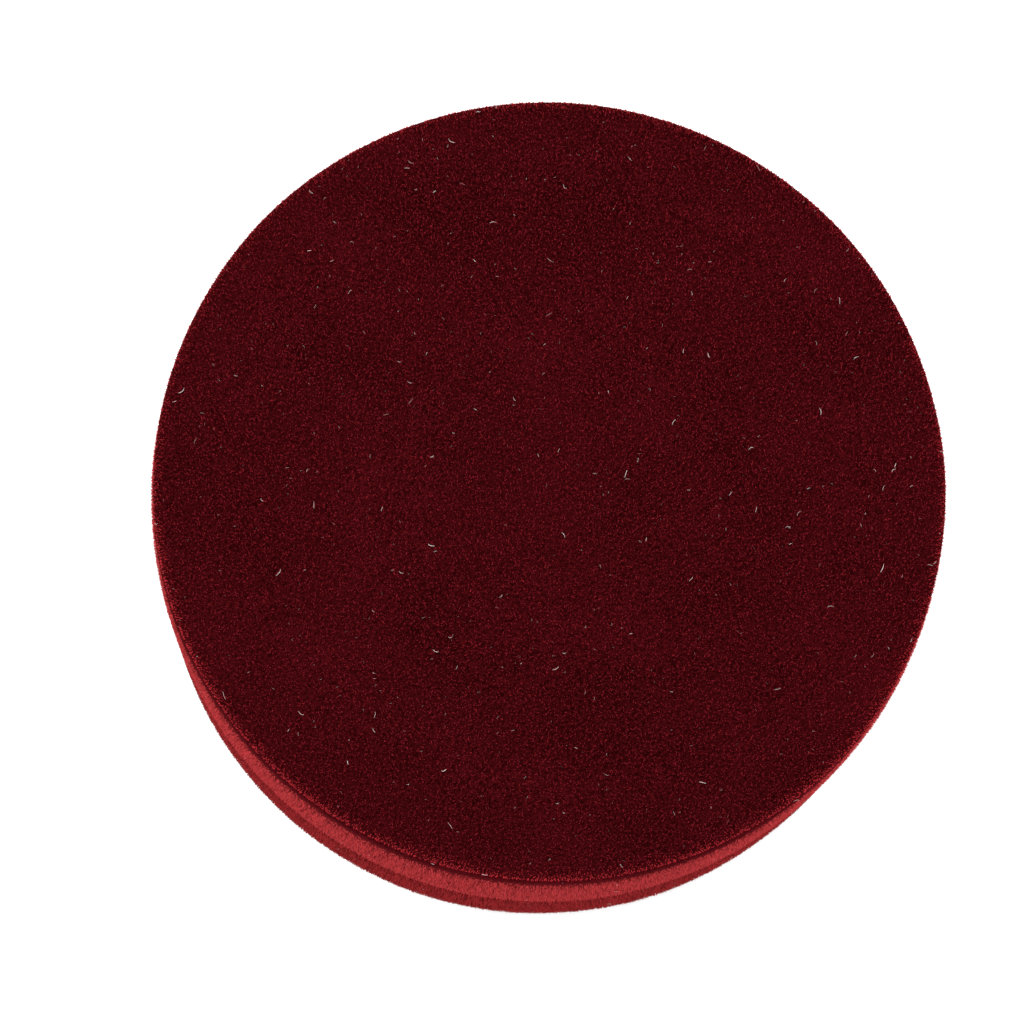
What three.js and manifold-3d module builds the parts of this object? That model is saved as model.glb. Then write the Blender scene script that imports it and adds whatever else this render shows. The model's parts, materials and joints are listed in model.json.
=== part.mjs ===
// Round velvet-covered jewellery box with a hinged lid, in millimetres, +Z up.
// The origin is the centre of the underside. The front faces -Y and the hinge is at the back, on the +Y side.
// Each half is a moulded cup wrapped in velvet, which is turned in over the rim and over the closed end.
// A separate panel hides the turned edge there: a padded top on the lid and a flat foot under the base.
import * as THREE from "three";
import { mergeVertices } from "three/addons/utils/BufferGeometryUtils.js";
import Module from "manifold-3d";

const wasm = await Module();
wasm.setup();

// Overall sizes
const BOX_DIAMETER = 100;
const LID_DEPTH = 27.5; // from the parting line to the crown of the lid
const BASE_DEPTH = 22.5; // from the parting line to the underside

// Cloth and the gaps between layers
const GLUE = 0.1; // between pieces that are glued face to face
const RIM_GAP = 0.3; // between the two closed rims
const WALL_VELVET = 0.8; // cloth and pile on the outside
const LINING_VELVET = 0.6; // cloth and pile on the inside
const TURNED_CLOTH = 0.5; // cloth that is folded over an edge and pressed flat
const TURNED_WIDTH = 5.5; // how far cloth is folded in past an edge
const RIM_ROUND = 0.7;
const END_ROUND = 1.1;

// Moulded cups
const CUP_WALL = 2.8;
const CUP_FLOOR = 2;
const CUP_CHAMFER = 0.4;

// Padded top: board, foam and a velvet cover over both
const TOP_INSET = 0.35; // from the outside of the wall to the edge of the cover
const TOP_BOARD = 1;
const TOP_FOAM = 0.4; // at the edge, thicker under the crown
const TOP_CROWN = 0.7;

// Foot: a board with velvet under it
const FOOT_INSET = 3.5;
const FOOT_BOARD = 0.9;

// Linings and the pad on the floor
const LINING_BOARD = 0.9;
const COLLAR_HEIGHT = 3; // how far the base lining stands above the parting line
const COLLAR_CLEARANCE = 0.5;
const FLOOR_FOAM = 1.2;
const EDGE_CHAMFER = 0.4;
const PIECE_GAP = 0.4; // between a loose insert and what it stands beside

// Dividers
const DIVIDER_BOARD = 1;
const DIVIDER_DROP = 2.5; // from the parting line down to the dividers' top edge

// Ring rolls
const ROLL_COUNT = 3;
const ROLL_FRONT_SPACE = 4.8; // from the last roll to the lining, on the centre line
const ROLL_SLOT = 0.6; // between two rolls, where a ring is pushed in
const ROLL_SINK = 1.1; // how much of each roll's round is flattened against the pad
const ROLL_FOAM_SETBACK = 0.6; // from the end of a roll's cover to its foam

// Mirror in the lid
const MIRROR_GLASS = 1.6;
const MIRROR_BORDER = 8; // width of the frame round the glass
const MIRROR_LIP = 2; // how far the bezel reaches over the glass
const BACKING_BOARD = 1.5;
const BEZEL_BOARD = 1.2;

// Hinge
const OPEN_ANGLE = 100;
const HINGE_WIDTH = 23.7;
const KNUCKLES = 5;
const KNUCKLE_GAP = 0.3;
const BARREL_RADIUS = 1.5;
const BARREL_INSET = 0.2; // from the outside of the wall to the barrel
const BARREL_CLEARANCE = 0.6; // from the barrel to the leaves
const PIN_RADIUS = 0.6;
const PIN_CLEARANCE = 0.08;
const PIN_OVERHANG = 0.5;
const LEAF = 0.5;
const LEAF_HEIGHT = 9;
const NOTCH_CLEARANCE = 0.5; // round the hinge, to the wall and cloth cut out for it

// Rivets
const RIVET_INSET = 2.85; // from a leaf's end and far edge to the rivet
const RIVET_SHANK = 0.9;
const RIVET_HEAD = 1.7;
const RIVET_HEAD_THICKNESS = 0.6;
const RIVET_CLEARANCE = 0.1;
const RIVET_SEAT = 0.2; // from the curved leaf to the flat underside of the head
const HEAD_CLEARANCE = 0.3; // from the heads to the lining
const SHANK_SETBACK = 0.3; // from the end of the shank to the outside of the cup

// Closing magnets
const MAGNET = { width: 6, thickness: 1.2, height: 3 };
const MAGNET_CLEARANCE = 0.15;

// Facets
const ROUND_SEGMENTS = 48;
const SMALL_SEGMENTS = 16;
const CUT = 1; // how far a cutting solid runs past what it cuts

// Radii
const wallRadius = BOX_DIAMETER / 2;
const cupRadius = wallRadius - WALL_VELVET - GLUE;
const cupInside = cupRadius - CUP_WALL;
const leafOutside = cupInside - GLUE;
const leafInside = leafOutside - LEAF;
const rivetHeadFace = leafInside - RIVET_SEAT;
const liningOutside = rivetHeadFace - RIVET_HEAD_THICKNESS - HEAD_CLEARANCE;
const liningInside = liningOutside - TURNED_CLOTH - LINING_BOARD - LINING_VELVET - 2 * GLUE;
const insertRadius = liningInside - PIECE_GAP;
const mirrorRadius = insertRadius - MIRROR_BORDER;
const dividerHalf = DIVIDER_BOARD / 2 + GLUE + LINING_VELVET;
const rollSpace = liningInside - ROLL_FRONT_SPACE - dividerHalf - PIECE_GAP;
const rollRadius = (rollSpace - (ROLL_COUNT - 1) * ROLL_SLOT) / ROLL_COUNT / 2;

// Levels. A depth runs away from the parting line, up into the lid or down into the base.
const partingZ = BASE_DEPTH;
const topZ = partingZ + LID_DEPTH;
const rimDepth = RIM_GAP / 2;
const cupRimDepth = rimDepth + TURNED_CLOTH + GLUE;
const leafDepth = rimDepth + LEAF_HEIGHT;
const rivetDepth = leafDepth - RIVET_INSET;
const endLayers = GLUE + TURNED_CLOTH + GLUE; // turned cloth between a cup and its end panel
const topThickness = TURNED_CLOTH + TOP_BOARD + TOP_FOAM + WALL_VELVET + TOP_CROWN + 3 * GLUE;
const footThickness = LINING_VELVET + FOOT_BOARD + TURNED_CLOTH + 2 * GLUE;

// The two halves are alike: side is 1 for the lid, above the parting line, and -1 for the base.
const lid = { side: 1, cupDepth: LID_DEPTH - topThickness - endLayers, group: new THREE.Group() };
const base = { side: -1, cupDepth: BASE_DEPTH - footThickness - endLayers, group: new THREE.Group() };
const floorZ = partingZ - base.cupDepth + CUP_FLOOR;
const padTopZ = floorZ + GLUE + TURNED_CLOTH + FLOOR_FOAM + LINING_VELVET + 2 * GLUE;
const ceilingZ = partingZ + lid.cupDepth - CUP_FLOOR;

// Hinge axis and the notch through both walls that the barrel lies in. The notch is as wide as the stretch
// of wall that stands behind the axis, and deep enough for the walls to swing past each other.
const wallBehindAxis = BARREL_INSET + BARREL_RADIUS;
const hingeY = wallRadius - wallBehindAxis;
const chordBehindAxis = Math.sqrt(wallRadius ** 2 - hingeY ** 2);
const swing = wallBehindAxis * Math.tan(THREE.MathUtils.degToRad(OPEN_ANGLE / 2));
const notchDepth = Math.max(BARREL_RADIUS, swing) + NOTCH_CLEARANCE;
const notchHalfWidth = Math.max(HINGE_WIDTH / 2 + PIN_OVERHANG, chordBehindAxis) + NOTCH_CLEARANCE;
const rivetAngle = Math.asin((HINGE_WIDTH / 2 - RIVET_INSET) / cupInside);

const materials = {
  velvet: new THREE.MeshStandardMaterial({ color: 0x5a0b14, roughness: 0.95, metalness: 0 }),
  lining: new THREE.MeshStandardMaterial({ color: 0x6e1018, roughness: 0.95, metalness: 0 }),
  plastic: new THREE.MeshStandardMaterial({ color: 0x241416, roughness: 0.6, metalness: 0 }),
  board: new THREE.MeshStandardMaterial({ color: 0x8c8478, roughness: 0.9, metalness: 0 }),
  foam: new THREE.MeshStandardMaterial({ color: 0xe6dfd2, roughness: 1, metalness: 0 }),
  brass: new THREE.MeshStandardMaterial({ color: 0xc9a24a, roughness: 0.3, metalness: 1 }),
  magnet: new THREE.MeshStandardMaterial({ color: 0xb8bcc0, roughness: 0.25, metalness: 1 }),
  mirror: new THREE.MeshStandardMaterial({ color: 0xe8ecee, roughness: 0.03, metalness: 1 }),
};

// Adds one named piece to a half. shape is a geometry or a manifold-3d solid.
function add(half, name, shape, material) {
  const geometry = shape.isBufferGeometry ? shape : geometryOf(shape);
  const mesh = new THREE.Mesh(geometry, material);
  mesh.name = name;
  half.group.add(mesh);
}

function solidOf(geometry) {
  const positions = new THREE.BufferGeometry();
  const source = geometry.index ? geometry.toNonIndexed() : geometry;
  positions.setAttribute("position", source.getAttribute("position").clone());
  const merged = mergeVertices(positions, 1e-4);
  return new wasm.Manifold(
    new wasm.Mesh({
      numProp: 3,
      vertProperties: merged.attributes.position.array,
      triVerts: new Uint32Array(merged.index.array),
    }),
  );
}

function geometryOf(solid) {
  const mesh = solid.getMesh();
  const geometry = new THREE.BufferGeometry();
  geometry.setAttribute("position", new THREE.BufferAttribute(mesh.vertProperties, 3));
  geometry.setIndex(new THREE.BufferAttribute(mesh.triVerts, 1));
  return geometry;
}

// Turns a profile of [radius, z] points about the Z axis. The points run anticlockwise round the section,
// from the axis to the axis, or all the way round, in which case the first one is repeated at the end.
function revolve(profile) {
  const points = profile.map(([radius, z]) => new THREE.Vector2(radius, z));
  return new THREE.LatheGeometry(points, ROUND_SEGMENTS).rotateX(Math.PI / 2);
}

function closed(profile) {
  return [...profile, profile[0]];
}

// Points of an arc about [radius, z], from one angle in degrees to another.
function arc([r, z], radius, from, to, steps) {
  return Array.from({ length: steps + 1 }, (_, i) => {
    const angle = THREE.MathUtils.degToRad(from + ((to - from) * i) / steps);
    return [r + radius * Math.cos(angle), z + radius * Math.sin(angle)];
  });
}

function ring(inside, outside, low, high) {
  return revolve(closed([[inside, low], [outside, low], [outside, high], [inside, high]]));
}

function disc(radius, low, high) {
  return revolve([[0, low], [radius, low], [radius, high], [0, high]]);
}

function block(x0, x1, y0, y1, z0, z1) {
  const geometry = new THREE.BoxGeometry(x1 - x0, y1 - y0, z1 - z0);
  return geometry.translate((x0 + x1) / 2, (y0 + y1) / 2, (z0 + z1) / 2);
}

// A rod along X from x0 to x1.
function rodX(radius, x0, x1, y, z) {
  const geometry = new THREE.CylinderGeometry(radius, radius, x1 - x0, SMALL_SEGMENTS);
  return geometry.rotateZ(Math.PI / 2).translate((x0 + x1) / 2, y, z);
}

// A rod that points away from the Z axis at the back, turned by angle about it.
function rodOut(radius, from, to, angle, z) {
  const geometry = new THREE.CylinderGeometry(radius, radius, to - from, SMALL_SEGMENTS);
  return geometry.translate(0, (from + to) / 2, z).rotateZ(-angle);
}

// Lowest and highest z of a stretch between two depths on one half.
function span(half, near, far) {
  const ends = [partingZ + half.side * near, partingZ + half.side * far];
  return [Math.min(...ends), Math.max(...ends)];
}

// A profile of [radius, depth] points put on its half, still anticlockwise.
function onHalf(half, profile) {
  const placed = profile.map(([radius, depth]) => [radius, partingZ + half.side * depth]);
  return half.side > 0 ? placed : placed.reverse();
}

function barrelNotch(half) {
  const [low, high] = span(half, -CUT, notchDepth);
  return solidOf(block(-notchHalfWidth, notchHalfWidth, 0, wallRadius + CUT, low, high));
}

// Room for a hinge leaf in the cloth that is turned in over the rim.
function leafSlot(half) {
  const x = HINGE_WIDTH / 2 + NOTCH_CLEARANCE;
  const [low, high] = span(half, -CUT, leafDepth + NOTCH_CLEARANCE);
  const strip = solidOf(block(-x, x, 0, wallRadius, low, high));
  return strip.intersect(solidOf(disc(cupInside, low - CUT, high + CUT)));
}

function magnetBlock(half, clearance, nearDepth) {
  const middle = (cupRadius + cupInside) / 2;
  const x = MAGNET.width / 2 + clearance;
  const y = MAGNET.thickness / 2 + clearance;
  const [low, high] = span(half, nearDepth, cupRimDepth + GLUE + MAGNET.height + clearance);
  return block(-x, x, -middle - y, -middle + y, low, high);
}

// The moulded cup, with a hinge notch, rivet holes and a magnet pocket that opens at the rim.
function cup(half) {
  const end = half.cupDepth;
  const profile = [
    [0, end - CUP_FLOOR],
    [cupInside, end - CUP_FLOOR],
    [cupInside, cupRimDepth],
    [cupRadius, cupRimDepth],
    [cupRadius, end - CUP_CHAMFER],
    [cupRadius - CUP_CHAMFER, end],
    [0, end],
  ];
  const rivetZ = partingZ + half.side * rivetDepth;
  let solid = solidOf(revolve(onHalf(half, profile)));
  for (const angle of [-rivetAngle, rivetAngle]) {
    const hole = rodOut(RIVET_SHANK + RIVET_CLEARANCE, cupInside - CUT, cupRadius + CUT, angle, rivetZ);
    solid = solid.subtract(solidOf(hole));
  }
  const pocket = magnetBlock(half, MAGNET_CLEARANCE, cupRimDepth - CUT);
  return solid.subtract(solidOf(pocket)).subtract(barrelNotch(half));
}

// The wall's velvet, turned in over the rim and over the cup's closed end.
function wallVelvet(half) {
  const end = half.cupDepth + GLUE + TURNED_CLOTH;
  const inside = cupInside - GLUE - TURNED_CLOTH;
  const profile = closed([
    [inside, rimDepth],
    ...arc([wallRadius - RIM_ROUND, rimDepth + RIM_ROUND], RIM_ROUND, -90, 0, 3),
    ...arc([wallRadius - END_ROUND, end - END_ROUND], END_ROUND, 0, 90, 3),
    [cupRadius - TURNED_WIDTH, end],
    [cupRadius - TURNED_WIDTH, end - TURNED_CLOTH],
    [cupRadius + GLUE, end - TURNED_CLOTH],
    [cupRadius + GLUE, rimDepth + TURNED_CLOTH],
    [inside + TURNED_CLOTH, rimDepth + TURNED_CLOTH],
    [inside + TURNED_CLOTH, rimDepth + TURNED_WIDTH],
    [inside, rimDepth + TURNED_WIDTH],
  ]);
  return solidOf(revolve(onHalf(half, profile))).subtract(barrelNotch(half)).subtract(leafSlot(half));
}

// One hinge leaf: a curved plate inside the wall, every second knuckle, a tongue to each of them, and room for
// the other leaf's knuckles.
function hingeLeaf(half) {
  const x = HINGE_WIDTH / 2;
  const [low, high] = span(half, rimDepth, leafDepth);
  const [tongueLow, tongueHigh] = span(half, rimDepth, rimDepth + LEAF);
  const core = solidOf(disc(leafInside, low - CUT, high + CUT));
  const strip = solidOf(block(-x, x, 0, wallRadius, low - CUT, high + CUT));
  let leaf = solidOf(ring(leafInside, leafOutside, low, high)).intersect(strip);
  const width = (HINGE_WIDTH - KNUCKLE_GAP * (KNUCKLES - 1)) / KNUCKLES;
  for (let i = 0; i < KNUCKLES; i += 1) {
    const start = -x + i * (width + KNUCKLE_GAP);
    const stop = start + width;
    if ((i % 2 === 0) === (half === base)) {
      const tongue = solidOf(block(start, stop, 0, hingeY, tongueLow, tongueHigh)).subtract(core);
      leaf = leaf.add(tongue).add(solidOf(rodX(BARREL_RADIUS, start, stop, hingeY, partingZ)));
    } else {
      const reach = BARREL_RADIUS + BARREL_CLEARANCE;
      leaf = leaf.subtract(solidOf(rodX(reach, start - KNUCKLE_GAP, stop + KNUCKLE_GAP, hingeY, partingZ)));
    }
  }
  leaf = leaf.subtract(solidOf(rodX(PIN_RADIUS + PIN_CLEARANCE, -x - CUT, x + CUT, hingeY, partingZ)));
  const rivetZ = partingZ + half.side * rivetDepth;
  for (const angle of [-rivetAngle, rivetAngle]) {
    const hole = rodOut(RIVET_SHANK + RIVET_CLEARANCE, leafInside - CUT, leafOutside + CUT, angle, rivetZ);
    leaf = leaf.subtract(solidOf(hole));
  }
  return leaf;
}

function rivet(half, angle) {
  const z = partingZ + half.side * rivetDepth;
  const head = rodOut(RIVET_HEAD, rivetHeadFace - RIVET_HEAD_THICKNESS, rivetHeadFace, angle, z);
  const shank = rodOut(RIVET_SHANK, rivetHeadFace - RIVET_HEAD_THICKNESS / 2, cupRadius - SHANK_SETBACK, angle, z);
  return solidOf(head).add(solidOf(shank));
}

// Points of a shallow dome from its edge in to the axis.
function dome(edgeRadius, edgeZ) {
  const steps = 4;
  return Array.from({ length: steps + 1 }, (_, i) => {
    const share = 1 - i / steps;
    return [edgeRadius * share, edgeZ + TOP_CROWN * (1 - share ** 2)];
  });
}

// The padded top: the cover wraps the foam and the board, and is turned in under the board.
function addTopPanel() {
  const low = topZ - topThickness;
  const shoulder = topZ - TOP_CROWN;
  const radius = wallRadius - TOP_INSET;
  const edgeRound = (shoulder - low) / 2;
  const boardRadius = radius - WALL_VELVET - GLUE;
  const boardLow = low + TURNED_CLOTH + GLUE;
  const foamLow = boardLow + TOP_BOARD + GLUE;
  const cover = revolve([
    ...dome(boardRadius + GLUE, shoulder - WALL_VELVET).reverse(),
    [boardRadius + GLUE, low + TURNED_CLOTH],
    [boardRadius - TURNED_WIDTH, low + TURNED_CLOTH],
    [boardRadius - TURNED_WIDTH, low],
    ...arc([radius - edgeRound, low + edgeRound], edgeRound, -90, 90, 6),
    ...dome(radius - edgeRound, shoulder).slice(1),
  ]);
  add(lid, "lid_top_velvet", cover, materials.velvet);
  const foam = revolve([[0, foamLow], [boardRadius, foamLow], ...dome(boardRadius, foamLow + TOP_FOAM)]);
  add(lid, "lid_top_foam", foam, materials.foam);
  add(lid, "lid_top_board", disc(boardRadius, boardLow, boardLow + TOP_BOARD), materials.board);
}

// A disc under cloth, which covers one face and the edge and is turned in on the other face.
function addCoveredDisc(half, name, core, radius, coveredZ, turnedZ) {
  const away = Math.sign(turnedZ - coveredZ);
  const profile = [
    [0, coveredZ],
    [radius - EDGE_CHAMFER, coveredZ],
    [radius, coveredZ + away * EDGE_CHAMFER],
    [radius, turnedZ],
    [radius - TURNED_WIDTH, turnedZ],
    [radius - TURNED_WIDTH, turnedZ - away * TURNED_CLOTH],
    [radius - TURNED_CLOTH, turnedZ - away * TURNED_CLOTH],
    [radius - TURNED_CLOTH, coveredZ + away * LINING_VELVET],
    [0, coveredZ + away * LINING_VELVET],
  ];
  const ends = [coveredZ + away * (LINING_VELVET + GLUE), turnedZ - away * (TURNED_CLOTH + GLUE)];
  const coreRadius = radius - TURNED_CLOTH - GLUE;
  add(half, `${name}_velvet`, revolve(away > 0 ? profile : profile.reverse()), materials.lining);
  add(half, `${name}_${core}`, disc(coreRadius, Math.min(...ends), Math.max(...ends)), materials[core]);
}

// A ring-shaped board under cloth, which covers its inner face and one edge and is turned up its outer face.
function addCoveredRing(half, name, inside, outside, coveredZ, bareZ) {
  const away = Math.sign(bareZ - coveredZ);
  const turnedZ = coveredZ + away * Math.min(TURNED_WIDTH, Math.abs(bareZ - coveredZ));
  const clothZ = coveredZ + away * LINING_VELVET;
  const profile = closed([
    [inside, coveredZ],
    [outside, coveredZ],
    [outside, turnedZ],
    [outside - TURNED_CLOTH, turnedZ],
    [outside - TURNED_CLOTH, clothZ],
    [inside + LINING_VELVET, clothZ],
    [inside + LINING_VELVET, bareZ],
    [inside, bareZ],
  ]);
  const boardInside = inside + LINING_VELVET + GLUE;
  const boardOutside = outside - TURNED_CLOTH - GLUE;
  const ends = [clothZ + away * GLUE, bareZ];
  const board = ring(boardInside, boardOutside, Math.min(...ends), Math.max(...ends));
  add(half, `${name}_velvet`, revolve(away > 0 ? profile : profile.reverse()), materials.lining);
  add(half, `${name}_board`, board, materials.board);
}

// A board on edge under a saddle of cloth, made along X about the origin and then put in place.
function addDivider(name, length, place) {
  const low = padTopZ + GLUE;
  const high = partingZ - DIVIDER_DROP;
  const end = length / 2;
  const slot = dividerHalf - LINING_VELVET;
  const blank = solidOf(block(-end, end, -dividerHalf, dividerHalf, low, high));
  const cut = solidOf(block(-end - CUT, end + CUT, -slot, slot, low - CUT, high - LINING_VELVET));
  const board = block(-end, end, GLUE - slot, slot - GLUE, low, high - LINING_VELVET - GLUE);
  add(base, `${name}_velvet`, place(geometryOf(blank.subtract(cut))), materials.lining);
  add(base, `${name}_board`, place(board), materials.board);
}

// A round section flattened underneath, the same amount whatever its radius.
function rollSection(radius) {
  const flat = Math.acos((radius - ROLL_SINK) / radius);
  const section = new THREE.Shape();
  section.absarc(0, 0, radius, -Math.PI / 2 + flat, (3 * Math.PI) / 2 - flat, false);
  section.closePath();
  return section;
}

// Runs a section along X on the pad, centred on x = 0.
function alongRoll(section, length, y) {
  const geometry = new THREE.ExtrudeGeometry(section, { depth: length, bevelEnabled: false, curveSegments: 16 });
  geometry.translate(0, 0, -length / 2).rotateX(Math.PI / 2).rotateZ(Math.PI / 2);
  return geometry.translate(0, y, padTopZ + GLUE + rollRadius - ROLL_SINK);
}

// A foam rod in a sleeve of velvet, lying in front of the centre divider.
function addRingRoll(index) {
  const y = dividerHalf + PIECE_GAP + rollRadius + index * (2 * rollRadius + ROLL_SLOT);
  const length = 2 * (Math.sqrt(liningInside ** 2 - (y + rollRadius) ** 2) - PIECE_GAP);
  const sleeve = rollSection(rollRadius);
  sleeve.holes.push(rollSection(rollRadius - LINING_VELVET));
  const foam = rollSection(rollRadius - LINING_VELVET - GLUE);
  const name = `ring_roll_${index + 1}`;
  add(base, `${name}_velvet`, alongRoll(sleeve, length, -y), materials.lining);
  add(base, `${name}_foam`, alongRoll(foam, length - 2 * ROLL_FOAM_SETBACK, -y), materials.foam);
}

function addBaseInside() {
  addCoveredRing(base, "base_lining", liningInside, liningOutside, partingZ + COLLAR_HEIGHT, floorZ + GLUE);
  addCoveredDisc(base, "floor_pad", "foam", insertRadius, padTopZ, floorZ + GLUE);
  const reach = Math.sqrt(liningInside ** 2 - dividerHalf ** 2) - PIECE_GAP;
  const crossStart = dividerHalf + PIECE_GAP;
  const crossMiddle = (crossStart + reach) / 2;
  addDivider("centre_divider", 2 * reach, (geometry) => geometry);
  addDivider("cross_divider", reach - crossStart, (geometry) =>
    geometry.rotateZ(Math.PI / 2).translate(0, crossMiddle, 0),
  );
  for (let i = 0; i < ROLL_COUNT; i++) {
    addRingRoll(i);
  }
}

// The mirror lies against a backing board, inside a spacer of its own thickness, and a bezel holds its edge.
function addLidInside() {
  const backingLow = ceilingZ - GLUE - BACKING_BOARD;
  const glassHigh = backingLow - GLUE;
  const glassLow = glassHigh - MIRROR_GLASS;
  const bezelHigh = glassLow - GLUE;
  const bezelLow = bezelHigh - BEZEL_BOARD - GLUE - LINING_VELVET;
  const liningLow = partingZ + COLLAR_HEIGHT + COLLAR_CLEARANCE;
  addCoveredRing(lid, "lid_lining", liningInside, liningOutside, liningLow, ceilingZ - GLUE);
  add(lid, "mirror_backing_board", disc(insertRadius, backingLow, ceilingZ - GLUE), materials.board);
  add(lid, "mirror_glass", disc(mirrorRadius, glassLow, glassHigh), materials.mirror);
  const spacer = ring(mirrorRadius + PIECE_GAP, insertRadius, glassLow, glassHigh);
  add(lid, "mirror_spacer_board", spacer, materials.board);
  addCoveredRing(lid, "mirror_bezel", mirrorRadius - MIRROR_LIP, insertRadius, bezelLow, bezelHigh);
}

function addHalf(name, half) {
  add(half, `${name}_cup`, cup(half), materials.plastic);
  add(half, `${name}_wall_velvet`, wallVelvet(half), materials.velvet);
  add(half, `${name}_magnet`, magnetBlock(half, 0, cupRimDepth + GLUE), materials.magnet);
  add(half, `${name}_hinge_leaf`, hingeLeaf(half), materials.brass);
  add(half, `${name}_rivet_left`, rivet(half, -rivetAngle), materials.brass);
  add(half, `${name}_rivet_right`, rivet(half, rivetAngle), materials.brass);
}

addHalf("base", base);
addHalf("lid", lid);
const pinHalf = HINGE_WIDTH / 2 + PIN_OVERHANG;
add(base, "hinge_pin", rodX(PIN_RADIUS, -pinHalf, pinHalf, hingeY, partingZ), materials.brass);
addCoveredDisc(base, "foot", "board", wallRadius - FOOT_INSET, 0, footThickness);
addBaseInside();
addTopPanel();
addLidInside();

const box = new THREE.Group();
box.add(base.group, lid.group);

export default box;
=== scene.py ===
"""Looks of a round velvet jewellery box with a hinged lid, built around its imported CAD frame."""
import json
import logging
import math
from dataclasses import dataclass, field, replace
from enum import Enum
from functools import lru_cache

import bmesh
import bpy
import numpy as np
from mathutils import Matrix, Vector, noise

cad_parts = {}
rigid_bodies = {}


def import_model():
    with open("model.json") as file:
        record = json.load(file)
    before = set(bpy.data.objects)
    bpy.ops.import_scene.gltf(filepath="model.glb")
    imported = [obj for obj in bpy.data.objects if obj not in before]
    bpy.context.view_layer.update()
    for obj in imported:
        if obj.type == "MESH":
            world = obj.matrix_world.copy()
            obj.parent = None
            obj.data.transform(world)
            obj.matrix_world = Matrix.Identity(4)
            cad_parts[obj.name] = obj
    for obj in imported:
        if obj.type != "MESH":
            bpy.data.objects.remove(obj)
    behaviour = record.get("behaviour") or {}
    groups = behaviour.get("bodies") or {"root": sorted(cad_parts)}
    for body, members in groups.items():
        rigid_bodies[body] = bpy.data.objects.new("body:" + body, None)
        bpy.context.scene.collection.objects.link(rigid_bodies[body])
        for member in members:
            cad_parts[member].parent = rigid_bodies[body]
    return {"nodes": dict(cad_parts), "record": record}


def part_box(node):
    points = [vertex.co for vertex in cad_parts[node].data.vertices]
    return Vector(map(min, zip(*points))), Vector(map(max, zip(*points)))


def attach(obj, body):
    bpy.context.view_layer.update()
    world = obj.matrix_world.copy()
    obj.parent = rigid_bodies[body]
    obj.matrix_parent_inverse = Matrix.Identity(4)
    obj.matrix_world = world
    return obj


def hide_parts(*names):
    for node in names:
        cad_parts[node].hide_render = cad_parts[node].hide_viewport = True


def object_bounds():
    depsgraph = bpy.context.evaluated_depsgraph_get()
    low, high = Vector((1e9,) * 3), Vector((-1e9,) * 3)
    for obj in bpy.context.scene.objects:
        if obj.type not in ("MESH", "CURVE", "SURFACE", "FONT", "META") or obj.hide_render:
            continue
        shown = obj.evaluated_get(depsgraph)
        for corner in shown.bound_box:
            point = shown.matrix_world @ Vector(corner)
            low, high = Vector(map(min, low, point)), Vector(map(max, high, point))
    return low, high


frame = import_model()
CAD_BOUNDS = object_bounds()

log = logging.getLogger("jewellery_box")

MM = 0.001
Colour = tuple[float, float, float]
Point = tuple[float, float]
Outline = list[tuple[float, float, float]]
Piece = bpy.types.Object
Socket = bpy.types.NodeSocket
Rings = list[list[bmesh.types.BMVert]]
ROUND_SEGMENTS = 288
PILE_ATTRIBUTE = "pile"
TONE_ATTRIBUTE = "fibre_tone"
SHARP_ANGLE = math.radians(42)
GLUE = 0.1 * MM
CLOTH_EDGE = 1.6 * MM
STUFFING_PRESSURE = 4.0


class Body(Enum):
    """The two bodies that the hinge joins."""

    BASE = "base"
    LID = "lid"


class Slot(Enum):
    """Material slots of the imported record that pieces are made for."""

    OUTER = "outer_velvet"
    LINING = "lining_velvet"
    BRASS = "brass"
    MIRROR = "mirror"


# ---------------------------------------------------------------- node trees


class NodeGraph:
    """Adds nodes to a node tree and links them, with sockets named in words."""

    def __init__(self, tree: bpy.types.NodeTree) -> None:
        """Takes the shader or geometry node tree that nodes are added to."""
        self.tree = tree

    def add(
        self, kind: str, inputs: dict[str | int, object] | None = None, **settings: object,
    ) -> bpy.types.Node:
        """Adds a node.

        Args:
            kind: the node's type name in Blender.
            inputs: a value, or an output socket to link from, for each input by name or place.
            **settings: properties of the node itself.

        Returns:
            The new node.
        """
        node = self.tree.nodes.new(kind)
        for key, value in settings.items():
            setattr(node, key, value)
        for key, value in (inputs or {}).items():
            self.feed(node.inputs[key], value)
        return node

    def feed(self, socket: Socket, value: object) -> None:
        """Links a socket from an output, or sets its value.

        Args:
            socket: the input socket.
            value: an output socket, or a plain value.
        """
        if isinstance(value, Socket):
            self.tree.links.new(value, socket)
        elif isinstance(value, tuple) and len(value) == 3 and socket.type == "RGBA":
            socket.default_value = (*value, 1.0)
        else:
            socket.default_value = value

    def spread(self, value: Socket, low: float, high: float, start: float = 0.0) -> Socket:
        """Stretches a value that runs from start to 1, so that it runs from low to high."""
        inputs = {"Value": value, "From Min": start, "To Min": low, "To Max": high}
        return self.add("ShaderNodeMapRange", inputs).outputs[0]

    def product(self, first: Socket, last: Socket | float, clamped: bool = False) -> Socket:
        """Multiplies two numbers, and keeps the result between 0 and 1 if it is clamped."""
        inputs = {0: first, 1: last}
        return self.add("ShaderNodeMath", inputs, operation="MULTIPLY", use_clamp=clamped).outputs[0]


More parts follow.
